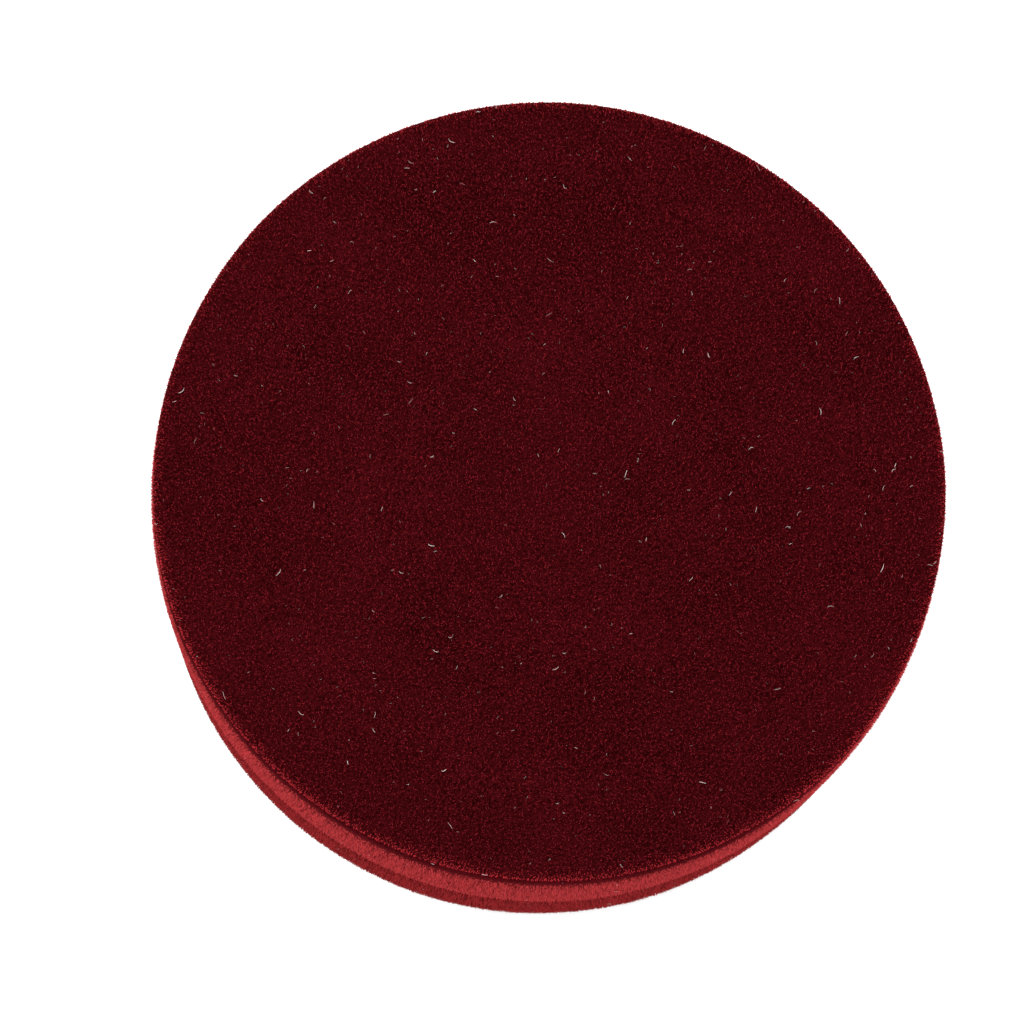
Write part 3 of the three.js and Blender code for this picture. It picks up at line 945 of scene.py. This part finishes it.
@dataclass
class Pile:
    """The fibres that stand on one cloth."""

    tree: ScatterTree
    finish: PileFinish
    length: float = 0.4 * MM
    width: float = 0.12 * MM
    density: float = 6.0e6
    nap: tuple[float, float, float] = (0.0, 0.0, 0.0)
    scatter: float = 0.4
    layers: int = 2
    wrapped: bool = False

    def grow(self, cloth: Piece, body: Body, slot: Slot, seed: int) -> None:
        """Stands the fibres on a cloth, as one or more pieces.

        Args:
            cloth: the cloth's mesh object, with its share of pile stored.
            body: the body that they move with.
            slot: the record's material slot.
            seed: the first layer's seed.
        """
        for layer in range(self.layers):
            piece = self.tree.apply(f"{cloth.name}_pile_{layer + 1}", cloth, {
                "Density": self.density, "Length": self.length, "Width": self.width, "Nap": self.nap,
                "Scatter": self.scatter, "Seed": seed + layer, "Material": material_of(self.finish),
            })
            bake_places(piece, self.wrapped)
            place_piece(piece, body, slot)

    def clothe(
        self, cloth: Piece, finish: VelvetFinish, body: Body, slot: Slot, seed: int, *nodes: str,
    ) -> None:
        """Dresses a cloth, stands the fibres on it and places it.

        Args:
            cloth: the cloth's mesh object, with its share of pile stored.
            finish: the cloth's own finish.
            body: the body that it moves with.
            slot: the record's material slot.
            seed: the first layer's seed.
            *nodes: the CAD nodes that it stands for.
        """
        dress(cloth, finish)
        self.grow(cloth, body, slot, seed)
        place_piece(cloth, body, slot, *nodes)


@dataclass
class HingeNotch:
    """The space that the hinge takes out of both walls, from the sizes of its barrel."""

    margin: float = 0.5 * MM
    rounding: float = 0.4 * MM
    leaf_depth: float = 9.7 * MM
    leaf_outside: float = 46.2 * MM

    def axis(self) -> tuple[float, float]:
        """Where the hinge's axis lies, as y and z."""
        low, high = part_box("hinge_pin")
        return (low.y + high.y) / 2, (low.z + high.z) / 2

    def barrel(self) -> tuple[Vector, Vector]:
        """The notch for the barrel.

        Returns:
            Its lowest and highest corner.
        """
        y, z = self.axis()
        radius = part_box("base_wall_velvet")[1].x
        open_angle = math.radians(frame["record"]["behaviour"]["joints"][0]["range_deg"][1])
        depth = (radius - y) * math.tan(open_angle / 2) + self.margin
        half_width = math.sqrt(radius**2 - y**2) + self.margin
        return Vector((-half_width, radius / 2, z - depth)), Vector((half_width, radius + MM, z + depth))

    def leaves(self) -> tuple[Vector, Vector]:
        """The room for both leaves in the cloth turned in over the rims.

        Returns:
            Its lowest and highest corner.
        """
        half_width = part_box("base_hinge_leaf")[1].x + self.margin
        z = self.axis()[1]
        low = Vector((-half_width, self.leaf_outside / 2, z - self.leaf_depth))
        return low, Vector((half_width, self.leaf_outside, z + self.leaf_depth))


@dataclass
class WallVelvet:
    """The velvet round one half's wall, turned in over the rim and over the cup's closed end."""

    body: Body
    pile: Pile
    seed: int
    notch: HingeNotch = field(default_factory=HingeNotch)
    pile_depth: float = 0.3 * MM
    rim_round: float = 0.9 * MM
    end_round: Point = (0.7 * MM, 1.6 * MM)
    end_drop: float = 0.3 * MM
    crown: float = 0.2 * MM
    short_pile: float = 0.3
    thinner: float = 0.55
    cloth: float = 0.42 * MM
    turned: float = 5.5 * MM
    cup_wall: float = 2.8 * MM
    rim_gap: float = 0.6 * MM
    uneven: Point = (0.08 * MM, 12 * MM)
    steps: int = 16

    def outline(self) -> Outline:
        """The cloth's section, from the CAD nodes' sizes, with the rim at the parting line.

        Returns:
            A closed outline.
        """
        low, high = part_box(f"{self.body.value}_wall_velvet")
        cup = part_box(f"{self.body.value}_cup")[1].x
        outside, depth = high.x - self.pile_depth - self.crown, high.z - low.z - self.end_drop
        inside = cup - self.cup_wall - self.rim_gap
        across, tall = self.end_round
        short, steps = self.short_pile, self.steps
        straight = depth - self.rim_round - tall
        bulge = [(
            outside + self.crown * (1 - (2 * i / steps - 1) ** 4), self.rim_round + straight * i / steps,
            self.thinner if i == steps - 1 else 1.0,
        ) for i in range(1, steps)]
        rim, edge = (outside - self.rim_round, self.rim_round), (self.rim_round, self.rim_round)
        section = [
            (inside, 0.0, short),
            *arc(rim, edge, -90, -35, short),
            *arc(rim, edge, -28, 0, 1.0),
            *bulge,
            # Bare shoulder under the top panel's edge: the wall cloth shows its dark bare colour here, a
            # painted shade in the groove.
            *arc((outside - across, depth - tall), self.end_round, 0, 90),
            (cup - self.turned, depth + self.end_drop, 0.0), (cup - self.turned, depth, 0.0),
            (cup + GLUE, depth - self.cloth, 0.0), (cup + GLUE, self.cloth, 0.0),
            (inside + self.cloth, self.cloth, 0.0), (inside + self.cloth, self.turned, 0.0),
            (inside, self.turned, short),
        ]
        if self.body is Body.LID:
            return [(r, low.z + z, pile) for r, z, pile in section]
        return [(r, high.z - z, pile) for r, z, pile in section]

    def build(self) -> Piece:
        """Makes the cloth with its hinge notch, and its pile.

        Returns:
            The cloth's mesh object.
        """
        section, node = self.outline(), f"{self.body.value}_wall_velvet"
        piece = turned_shape(f"{self.body.value}_wall_cloth", divided(section, CLOTH_EDGE))
        roughen(piece, *self.uneven, self.seed)
        low, high = self.notch.barrel()
        combine(piece, box_cutter(low, high, self.notch.rounding), "DIFFERENCE")
        combine(piece, box_cutter(*self.notch.leaves(), self.notch.rounding), "DIFFERENCE")
        places, margin = vertex_places(piece), self.notch.margin
        at_hinge = (np.abs(places[:, 0]) < high.x + margin) & (places[:, 1] > 0)
        at_hinge &= (places[:, 2] > low.z - margin) & (places[:, 2] < high.z + margin)
        set_shares(piece, np.where(at_hinge, 0.0, shares_of(piece)))
        self.pile.clothe(piece, WALL_CLOTH_PAINTED_LIGHT_AND_SHADE, self.body, Slot.OUTER, self.seed * 10, node)
        half_outline(section)
        return piece


@dataclass
class TopPanel:
    """The lid's padded top: velvet over foam and board, with a soft rounded edge."""

    pile: Pile
    pile_depth: float = 0.38 * MM
    cloth: float = 0.45 * MM
    crown: float = 0.45 * MM
    swell: float = 0.3 * MM
    slack: float = 0.3 * MM
    turned: float = 5.5 * MM
    uneven: Point = (0.1 * MM, 16 * MM)
    seed: int = 31
    steps: int = 24

    def outline(self) -> Outline:
        """The cover's section before it swells, from the CAD node's size.

        Returns:
            An outline that starts and ends on the axis.
        """
        low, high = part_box("lid_top_velvet")
        radius = high.x - self.pile_depth
        shoulder = high.z - self.slack - self.crown - self.swell
        edge = (shoulder - low.z) / 2
        inner, flat = radius - self.cloth, radius - edge

        def dome(reach: float, level: float, pile: float) -> Outline:
            """Points from the edge of a shallow crown in to the axis."""
            shares = [i / self.steps for i in range(self.steps + 1)]
            return [(reach * (1 - t), level + self.crown * (1 - (1 - t) ** 2), pile) for t in shares]

        return [
            *reversed(dome(inner, shoulder - self.cloth, 0.0)),
            (inner, low.z + self.cloth, 0.0), (inner - self.turned, low.z + self.cloth, 0.0),
            (inner - self.turned, low.z, 0.0),
            *arc((flat, low.z + edge), (edge, edge), -90, -12),
            *arc((flat, low.z + edge), (edge, edge), -4, 55, 0.5, 6),
            *arc((flat, low.z + edge), (edge, edge), 65, 90, 0.95, 4),
            *dome(flat, shoulder, 1.0)[1:],
        ]

    def build(self) -> Piece:
        """Makes the cover and its pile.

        Returns:
            The cover's mesh object.
        """
        piece = turned_shape("top_cloth", self.outline(), ROUND_SEGMENTS // 2)
        puff(piece, shares_of(piece) < 0.9, self.swell)
        roughen(piece, *self.uneven, self.seed)
        self.pile.clothe(piece, OUTER_CLOTH, Body.LID, Slot.OUTER, self.seed * 10, "lid_top_velvet")
        return piece


@dataclass
class WrappedDisc:
    """A disc of board or foam with velvet drawn over its face and glued behind its edge."""

    name: str
    node: str
    pile: Pile
    face_up: bool
    seed: int
    pile_depth: float = 0.2 * MM
    edge: float = 0.7 * MM
    cloth: float = 0.4 * MM
    turned: float = 5.5 * MM
    swell: float = 0.0
    uneven: Point = (0.06 * MM, 14 * MM)
    steps: int = 20

    def outline(self) -> Outline:
        """The cloth's section, face up.

        Returns:
            An outline that starts and ends on the axis.
        """
        low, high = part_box(self.node)
        reach, top = high.x - self.pile_depth, high.z - self.pile_depth - self.swell
        inner, edge = reach - self.edge, self.edge
        rays = [i / self.steps for i in range(self.steps + 1)]
        section = [
            *[(inner * t, top, 1.0) for t in rays[:-1]],
            *arc((inner, top - edge), (edge, edge), 90, 0, 1.0, 5),
            *arc((inner, low.z + edge), (edge, edge), 0, -90, 0.0, 5),
            (reach - self.turned, low.z, 0.0), (reach - self.turned, low.z + self.cloth, 0.0),
            (reach - self.cloth, low.z + self.cloth, 0.0), (reach - self.cloth, top - self.cloth, 0.0),
            *[(inner * t, top - self.cloth, 0.0) for t in reversed(rays[:-1])],
        ]
        return section if self.face_up else flipped(section, (low.z + high.z) / 2)

    def build(self, body: Body) -> None:
        """Makes the disc's cloth and its pile.

        Args:
            body: the body that it moves with.
        """
        piece = turned_shape(self.name, self.outline(), ROUND_SEGMENTS // 2)
        if self.swell:
            puff(piece, shares_of(piece) < 0.5, self.swell)
        roughen(piece, *self.uneven, self.seed)
        self.pile.clothe(piece, INNER_CLOTH, body, Slot.LINING, self.seed * 10, self.node)


@dataclass
class Lining:
    """The velvet sleeve inside one half, drawn over a board ring whose rim shows."""

    body: Body
    pile: Pile
    seed: int
    pile_depth: float = 0.2 * MM
    width: float = 1.9 * MM
    cloth: float = 0.4 * MM
    pile_stops: Point = (2.4 * MM, 2.5 * MM)
    turned: float = 5.5 * MM
    uneven: Point = (0.07 * MM, 10 * MM)
    longest_edge: float = 1.8 * MM

    def outline(self) -> Outline:
        """The cloth's section, rim up for the base and rim down for the lid.

        Returns:
            A closed outline.
        """
        low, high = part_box(f"{self.body.value}_lining_velvet")
        outside = high.x - GLUE
        half, top = self.width / 2, high.z - self.pile_depth
        middle, inside = outside - half, outside - self.width
        full, bare = self.pile_stops
        section = [
            (inside, low.z, 1.0),
            *arc((middle, top - half), (half, half), 180, 0, 1.0, 10),
            (outside, top - full, 1.0), (outside, top - bare, 0.0), (outside, top - self.turned, 0.0),
            (outside - self.cloth, top - self.turned, 0.0),
            *arc((middle, top - half), (half - self.cloth, half - self.cloth), 0, 180, 0.0, 6),
            (inside + self.cloth, low.z, 0.0),
        ]
        return section if self.body is Body.BASE else flipped(section, (low.z + high.z) / 2)

    def build(self) -> None:
        """Makes the sleeve and its pile."""
        section = self.outline()
        node, board = f"{self.body.value}_lining_velvet", f"{self.body.value}_lining_board"
        piece = turned_shape(f"{self.body.value}_lining_cloth", divided(section, self.longest_edge))
        roughen(piece, *self.uneven, self.seed)
        self.pile.clothe(piece, INNER_CLOTH, self.body, Slot.LINING, self.seed * 10, node)
        half_outline(section)


@dataclass
class Divider:
    """A board on edge with velvet drawn over it."""

    name: str
    node: str
    pile: Pile
    seed: int
    pile_depth: float = 0.15 * MM
    cloth: float = 0.4 * MM
    edge: float = 0.75 * MM
    end_cover: float = 0.12 * MM
    end_cloth: float = 0.8
    corner: float = 0.1 * MM
    slack: float = 0.05 * MM

    def build(self) -> None:
        """Makes the divider's cloth, drawn over the board's ends too, and its pile."""
        low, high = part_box(self.node)
        shrink = Vector((self.pile_depth, self.pile_depth, 0.0))
        along = 0 if high.x - low.x > high.y - low.y else 1
        shrink[along] = -self.end_cover
        low, high = low + shrink, high - shrink - Vector((0.0, 0.0, self.pile_depth))
        piece = box_cutter(low, high, self.edge)
        piece.name = piece.data.name = self.name
        wall = Vector((self.cloth, self.cloth, 0.0))
        wall[along] = self.end_cloth * self.end_cover
        hollow_low, hollow_high = low + wall, high - wall - Vector((0.0, 0.0, self.cloth))
        hollow_low.z -= MM
        combine(piece, box_cutter(hollow_low, hollow_high, self.corner), "DIFFERENCE")
        piece.data.set_sharp_from_angle(angle=SHARP_ANGLE)
        places, slack = vertex_places(piece), self.slack
        within = ((places > np.array(hollow_low) - slack) & (places < np.array(hollow_high) + slack)).all(1)
        set_shares(piece, np.where(within, 0.0, 1.0))
        self.pile.clothe(piece, INNER_CLOTH, Body.BASE, Slot.LINING, self.seed * 10, self.node)


@dataclass
class RingRoll:
    """A foam roll in a velvet sleeve whose ends are gathered in."""

    number: int
    pile: Pile
    pile_depth: float = 0.2 * MM
    swell: float = 0.25 * MM
    end: float = 2.4 * MM
    end_steps: int = 7
    longest_edge: float = 1.1 * MM
    gathered: float = 0.35
    pleats: int = 9
    pleat_depth: float = 0.05
    around: int = 36
    glued: float = 0.75
    uneven: Point = (0.1 * MM, 9 * MM)

    def stations(self, half: float) -> list[Point]:
        """Where the roll's rings lie.

        Args:
            half: half its length.

        Returns:
            A place on X, and a share of the roll's full radius, for each ring.
        """
        straight = half - self.end
        steps = max(8, round(2 * straight / self.longest_edge))
        turns = [math.pi / 2 * i / self.end_steps for i in range(self.end_steps + 1)]
        first = [(-half + self.end * (1 - math.cos(a)), math.sin(a)) for a in turns]
        middle = [(-straight + 2 * straight * i / steps, 1.0) for i in range(1, steps)]
        return first + middle + [(-x, share) for x, share in reversed(first)]

    def build(self) -> None:
        """Makes the roll and its pile."""
        low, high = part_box(f"ring_roll_{self.number}_velvet")
        radius = (high.y - low.y) / 2 - self.pile_depth - self.swell
        middle = Vector((0.0, (low.y + high.y) / 2, high.z - (high.y - low.y) / 2))
        mesh = bmesh.new()
        rings: Rings = []
        for x, share in self.stations((high.x - low.x) / 2 - self.pile_depth):
            ring = []
            for k in range(1 if share < 1e-6 else self.around):
                angle = 2 * math.pi * k / self.around
                gather = 1 - self.pleat_depth * (1 - share) ** 0.5 * (1 + math.cos(self.pleats * angle))
                full = self.gathered + (1 - self.gathered) * share if share > 0 else 0.0
                reach = radius * full * gather
                z = middle.z + reach * math.sin(angle)
                ring.append(mesh.verts.new((x, middle.y + reach * math.cos(angle), max(z, low.z))))
            rings.append(ring)
        skin(mesh, rings)
        piece = mesh_piece(f"ring_roll_{self.number}", mesh)
        puff(piece, vertex_places(piece)[:, 2] < middle.z - self.glued * radius, self.swell)
        roughen(piece, *self.uneven, 40 + self.number)
        set_shares(piece, (vertex_places(piece)[:, 2] - middle.z) / radius + 1.2)
        nodes = (f"ring_roll_{self.number}_velvet", f"ring_roll_{self.number}_foam")
        self.pile.clothe(piece, INNER_CLOTH, Body.BASE, Slot.LINING, 400 + 10 * self.number, *nodes)


# ---------------------------------------------------------------- mirror and hinge


@dataclass
class MirrorSet:
    """The mirror in the lid, and the velvet-covered bezel that holds it."""

    pile: Pile
    pile_depth: float = 0.15 * MM
    edge: float = 0.6 * MM
    cloth: float = 0.4 * MM
    turned: float = 4.0 * MM
    lip: float = 2.0 * MM
    arris: float = 0.25 * MM
    uneven: Point = (0.05 * MM, 9 * MM)
    seed: int = 61

    def build(self) -> None:
        """Makes the glass and the bezel."""
        low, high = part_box("mirror_glass")
        reach, arris = high.x, self.arris
        glass = turned_shape("mirror_plate", [
            (0.0, low.z, 0.0), (reach - arris, low.z, 0.0), (reach, low.z + arris, 0.0),
            (reach, high.z - arris, 0.0), (reach - arris, high.z, 0.0), (0.0, high.z, 0.0),
        ])
        dress(glass, MirrorFinish())
        place_piece(glass, Body.LID, Slot.MIRROR, "mirror_glass")
        self.bezel(reach - self.lip)

    def bezel(self, opening: float) -> None:
        """Makes the bezel's cloth and its pile.

        Args:
            opening: the radius of the hole in the bezel.
        """
        low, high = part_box("mirror_bezel_velvet")
        inner, outer = opening + self.pile_depth, high.x - self.pile_depth
        bottom, top, e, t = low.z + self.pile_depth, high.z, self.edge, self.cloth
        section = [
            (inner + self.turned, top, 0.0), (inner + e, top, 0.0),
            *arc((inner + e, top - e), (e, e), 90, 180, 0.5, 4),
            *arc((inner + e, bottom + e), (e, e), 180, 270, 1.0, 5),
            *arc((outer - e, bottom + e), (e, e), 270, 360, 1.0, 5),
            *arc((outer - e, top - e), (e, e), 0, 90, 0.0, 4),
            (outer - self.turned, top, 0.0), (outer - self.turned, top - t, 0.0), (outer - t, top - t, 0.0),
            (outer - t, bottom + t, 0.0), (inner + t, bottom + t, 0.0), (inner + t, top - t, 0.0),
            (inner + self.turned, top - t, 0.0),
        ]
        piece = turned_shape("mirror_bezel_cloth", divided(section, CLOTH_EDGE))
        roughen(piece, *self.uneven, self.seed)
        self.pile.clothe(piece, INNER_CLOTH, Body.LID, Slot.LINING, self.seed * 10, "mirror_bezel_velvet")


@dataclass
class Hinge:
    """Two curved brass leaves with interleaved knuckles on a pin."""

    notch: HingeNotch = field(default_factory=HingeNotch)
    leaf: float = 0.5 * MM
    leaf_gap: float = 0.15 * MM
    knuckles: int = 5
    knuckle_gap: float = 0.3 * MM
    barrel_radius: float = 1.5 * MM
    pin_radius: float = 0.6 * MM
    pin_clearance: float = 0.08 * MM
    chamfer: float = 0.15 * MM
    pin_chamfer: float = 0.2 * MM
    bore_chamfer: float = 0.01 * MM
    tongue: float = 1.2 * MM
    tongue_edge: float = 0.05 * MM
    round_steps: int = 40

    def rod(self, name: str, radius: float, start: float, stop: float, chamfer: float) -> Piece:
        """A rod along the hinge's axis with chamfered ends.

        Args:
            name: the object's name.
            radius: its radius.
            start: where it starts on X.
            stop: where it stops on X.
            chamfer: the width of its chamfers.

        Returns:
            A closed mesh object.
        """
        outline = [
            (0.0, start, 0.0), (radius - chamfer, start, 0.0), (radius, start + chamfer, 0.0),
            (radius, stop - chamfer, 0.0), (radius - chamfer, stop, 0.0), (0.0, stop, 0.0),
        ]
        piece = turned_shape(name, outline, self.round_steps)
        y, z = self.notch.axis()
        piece.data.transform(Matrix.Translation((0.0, y, z)) @ Matrix.Rotation(math.pi / 2, 4, "Y"))
        return piece

    def plate(self, name: str, half_width: float, low: float, high: float) -> Piece:
        """A leaf's curved plate.

        Args:
            name: the object's name.
            half_width: half its width.
            low: its lower edge.
            high: its upper edge.

        Returns:
            A closed mesh object.
        """
        mesh = bmesh.new()
        outside = self.notch.leaf_outside
        inside = outside - self.leaf
        reach = math.asin(half_width / outside)
        rows: Rings = []
        for k in range(self.round_steps + 1):
            angle = math.pi / 2 + reach * (1 - 2 * k / self.round_steps)
            across = Vector((math.cos(angle), math.sin(angle), 0.0))
            corners = [(outside, low), (outside, high), (inside, high), (inside, low)]
            rows.append([mesh.verts.new(across * r + Vector((0.0, 0.0, z))) for r, z in corners])
        skin(mesh, rows, capped=True)
        return mesh_piece(name, mesh)

    def build_leaf(self, body: Body) -> None:
        """Makes one leaf with its knuckles.

        Args:
            body: the body that it is fixed to.
        """
        node = f"{body.value}_hinge_leaf"
        low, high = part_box(node)
        y, z = self.notch.axis()
        near, far = (high.z, self.leaf_gap) if body is Body.LID else (low.z, -self.leaf_gap)
        edge = z + far
        piece = self.plate(f"{body.value}_leaf", high.x, min(near, edge), max(near, edge))
        width = (2 * high.x - self.knuckle_gap * (self.knuckles - 1)) / self.knuckles
        for i in range(0 if body is Body.BASE else 1, self.knuckles, 2):
            start = low.x + i * (width + self.knuckle_gap)
            levels = sorted((edge, edge + math.copysign(self.leaf, far)))
            corner = Vector((start, self.notch.leaf_outside - self.tongue, levels[0]))
            tongue = box_cutter(corner, Vector((start + width, y, levels[1])), self.tongue_edge)
            combine(piece, tongue, "UNION")
            knuckle = self.rod("knuckle", self.barrel_radius, start, start + width, self.chamfer)
            combine(piece, knuckle, "UNION")
        bore = self.pin_radius + self.pin_clearance
        combine(piece, self.rod("bore", bore, 2 * low.x, 2 * high.x, self.bore_chamfer), "DIFFERENCE")
        piece.data.set_sharp_from_angle(angle=SHARP_ANGLE)
        dress(piece, BRASS)
        place_piece(piece, body, Slot.BRASS, node)

    def build(self) -> None:
        """Makes both leaves and the pin."""
        for body in Body:
            self.build_leaf(body)
        low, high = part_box("hinge_pin")
        pin = self.rod("pin", self.pin_radius, low.x, high.x, self.pin_chamfer)
        dress(pin, BRASS)
        place_piece(pin, Body.BASE, Slot.BRASS, "hinge_pin")


@dataclass
class Lint:
    """Loose pale threads on the velvet."""

    shapes: int = 16
    steps: int = 7
    sides: int = 4
    longest: float = 0.8 * MM
    radius: float = 0.014 * MM
    lift: float = 0.36 * MM
    seed: int = 5

    def thread(self, index: int, rng: np.random.Generator) -> Piece:
        """One bent thread, closed at both ends, lying in the XY plane.

        Args:
            index: its number, for its name.
            rng: the source of its length and bend.

        Returns:
            A mesh object.
        """
        length = self.longest * rng.uniform(0.25, 1.0)
        bend, wave = rng.normal(0.0, 1.1), rng.uniform(-1.2, 1.2)
        heading, place, up = 0.0, Vector((0.0, 0.0, 0.0)), Vector((0.0, 0.0, 1.0))
        angles = [2 * math.pi * k / self.sides for k in range(self.sides)]
        mesh = bmesh.new()
        rings: Rings = []
        for i in range(self.steps + 1):
            share = i / self.steps
            along = Vector((math.cos(heading), math.sin(heading), 0.0))
            across = Vector((-along.y, along.x, 0.0))
            thin = self.radius * (0.55 + 0.45 * math.sin(math.pi * share))
            ring = [place + thin * (math.cos(a) * across + math.sin(a) * up) for a in angles]
            rings.append([mesh.verts.new(p) for p in ring])
            rise = up * 0.05 * length / self.steps * math.sin(3 * share)
            place = place + along * length / self.steps + rise
            heading += (bend + wave * math.cos(2 * math.pi * share)) / self.steps
        skin(mesh, rings, capped=True)
        return mesh_piece(f"thread_{index}", mesh)

    def build(self, cloths: list[tuple[Piece, Body, float]]) -> None:
        """Lays threads on each cloth.

        Args:
            cloths: the cloth, its body and how many threads lie on each square metre.
        """
        tree = build_lint_tree()
        rng = np.random.default_rng(self.seed)
        threads = bpy.data.collections.new("threads")
        for index in range(self.shapes):
            thread = self.thread(index, rng)
            bpy.context.scene.collection.objects.unlink(thread)
            threads.objects.link(thread)
        for cloth, body, density in cloths:
            piece = tree.apply(f"{cloth.name}_lint", cloth, {
                "Threads": threads, "Density": density, "Lift": self.lift, "Seed": self.seed,
                "Material": material_of(LintFinish()),
            })
            place_piece(piece, body, Slot.OUTER)
        for thread in list(threads.objects):
            bpy.data.objects.remove(thread)
        bpy.data.collections.remove(threads)


# ---------------------------------------------------------------- carried-over nodes


@dataclass
class CarriedNodes:
    """CAD nodes that keep their shape and get a finish."""

    finishes: dict[str, object] = field(default_factory=lambda: {
        "cup": BLACK_PLASTIC, "board": GREY_BOARD, "foam": PALE_FOAM, "magnet": NICKEL,
        "left": BRASS, "right": BRASS,
    })

    def dress_all(self) -> None:
        """Gives each node the finish that the last word of its name calls for."""
        for name, node in frame["nodes"].items():
            if node.hide_render:
                continue
            finish = self.finishes[name.split("_")[-1]]
            dress(node, finish)
            log.info("%s: carried over in %s", name, finish.name)


# ---------------------------------------------------------------- studio


@dataclass
class Studio:
    """A pale floor, soft light and the camera."""

    distance: float = 0.45
    elevation: float = 78.2
    roll: float = 13.1
    lens: float = 127.95
    aim_right: float = -4.91 * MM
    aim_up: float = -3.99 * MM
    floor_size: float = 4.0
    floor_glow: float = 0.35
    surround: float = 1.0

    def build(self) -> None:
        """Makes everything that isn't part of the object."""
        self.floor()
        self.world()
        self.light("overhead_softbox", (-0.5, 0.25, 1.0), 0.9, 9.0)
        self.light("front_softbox", (0.8, -0.6, 0.5), 0.7, 5.0)
        self.camera()
        bpy.context.scene.view_settings.view_transform = "Standard"

    def floor(self) -> None:
        """A white sheet of paper under the object, larger than the view."""
        mesh = bmesh.new()
        bmesh.ops.create_grid(mesh, x_segments=8, y_segments=8, size=self.floor_size / 2)
        floor = mesh_piece("floor", mesh, smooth=False)
        floor.data.transform(Matrix.Translation((0, 0, CAD_BOUNDS[0].z)))
        dress(floor, WHITE_PAPER)
        principled = floor.active_material.node_tree.nodes["Principled BSDF"]
        principled.inputs["Emission Color"].default_value = (1.0, 1.0, 1.0, 1.0)
        principled.inputs["Emission Strength"].default_value = self.floor_glow

    def world(self) -> None:
        """An even white surround."""
        world = bpy.data.worlds.new("surround")
        world.use_nodes = True
        background = world.node_tree.nodes["Background"]
        background.inputs["Color"].default_value = (1.0, 1.0, 1.0, 1.0)
        background.inputs["Strength"].default_value = self.surround
        bpy.context.scene.world = world

    def light(self, name: str, place: tuple[float, float, float], size: float, watts: float) -> None:
        """A square soft light that faces the object.

        Args:
            name: its name.
            place: where it hangs.
            size: the length of its side.
            watts: its power.
        """
        data = bpy.data.lights.new(name, "AREA")
        data.size, data.energy = size, watts
        lamp = bpy.data.objects.new(name, data)
        lamp.location = place
        lamp.rotation_euler = (-Vector(place)).to_track_quat("-Z", "Y").to_euler()
        bpy.context.scene.collection.objects.link(lamp)

    def camera(self) -> None:
        """A camera high over the front of the box, turned a little about its own line of sight."""
        high = CAD_BOUNDS[1].z
        tilt, roll = math.radians(90 - self.elevation), math.radians(self.roll)
        target = Vector((0.0, 0.0, high))
        place = target + self.distance * Vector((0.0, -math.sin(tilt), math.cos(tilt)))
        right, up = Vector((1.0, 0.0, 0.0)), Vector((0.0, math.cos(tilt), math.sin(tilt)))
        rolled_right = math.cos(roll) * right + math.sin(roll) * up
        rolled_up = -math.sin(roll) * right + math.cos(roll) * up
        aim = target + self.aim_right * rolled_right + self.aim_up * rolled_up
        back = (place - aim).normalized()
        right = (rolled_right - back * rolled_right.dot(back)).normalized()
        up = back.cross(right)
        data = bpy.data.cameras.new("camera")
        data.lens, data.sensor_width = self.lens, 36.0
        camera = bpy.data.objects.new("camera", data)
        camera.matrix_world = Matrix((
            (right.x, up.x, back.x, place.x),
            (right.y, up.y, back.y, place.y),
            (right.z, up.z, back.z, place.z),
            (0.0, 0.0, 0.0, 1.0),
        ))
        bpy.context.scene.collection.objects.link(camera)
        bpy.context.scene.camera = camera


def main() -> None:
    """Builds the box's pieces in order, then the studio."""
    logging.basicConfig(level=logging.INFO, format="%(message)s")
    tree = build_pile_tree()
    lid_pile_painted_sheen = Pile(tree, LID_PILE_PAINTED_SHEEN, width=0.17 * MM, density=5.0e6, nap=(0.0, 0.0, -0.25), wrapped=True)
    base_pile_painted_dimmer_sheen = Pile(tree, BASE_PILE_PAINTED_DIMMER_SHEEN, width=0.165 * MM, density=5.7e6, nap=(0.0, 0.0, -0.1), wrapped=True)
    flat_pile = Pile(tree, INNER_PILE, 0.3 * MM, 0.16 * MM, 3.0e6, nap=(0.1, 0.1, 0.0), layers=1)
    lining_pile = replace(flat_pile, nap=(0.0, 0.0, 0.15), wrapped=True)
    lid_wall = WallVelvet(Body.LID, lid_pile_painted_sheen, seed=11).build()
    base_wall = WallVelvet(Body.BASE, base_pile_painted_dimmer_sheen, seed=17).build()
    top = TopPanel(Pile(tree, TOP_PILE_SHADE_AND_RIM_HIGHLIGHT, nap=(-0.08, 0.02, 0.0))).build()
    WrappedDisc("foot_cloth", "foot_velvet", flat_pile, face_up=False, seed=23).build(Body.BASE)
    pad = WrappedDisc("floor_pad", "floor_pad_velvet", flat_pile, face_up=True, seed=29, swell=0.25 * MM)
    pad.build(Body.BASE)
    for number, body in enumerate(Body):
        Lining(body, lining_pile, seed=37 + number).build()
    Divider("centre_divider", "centre_divider_velvet", flat_pile, seed=43).build()
    Divider("cross_divider", "cross_divider_velvet", flat_pile, seed=47).build()
    for number in (1, 2, 3):
        RingRoll(number, flat_pile).build()
    MirrorSet(flat_pile).build()
    Hinge().build()
    Lint().build([(top, Body.LID, 8.5e4), (lid_wall, Body.LID, 2.0e4), (base_wall, Body.BASE, 1.2e4)])
    CarriedNodes().dress_all()
    Studio().build()


if __name__ == "__main__":
    main()
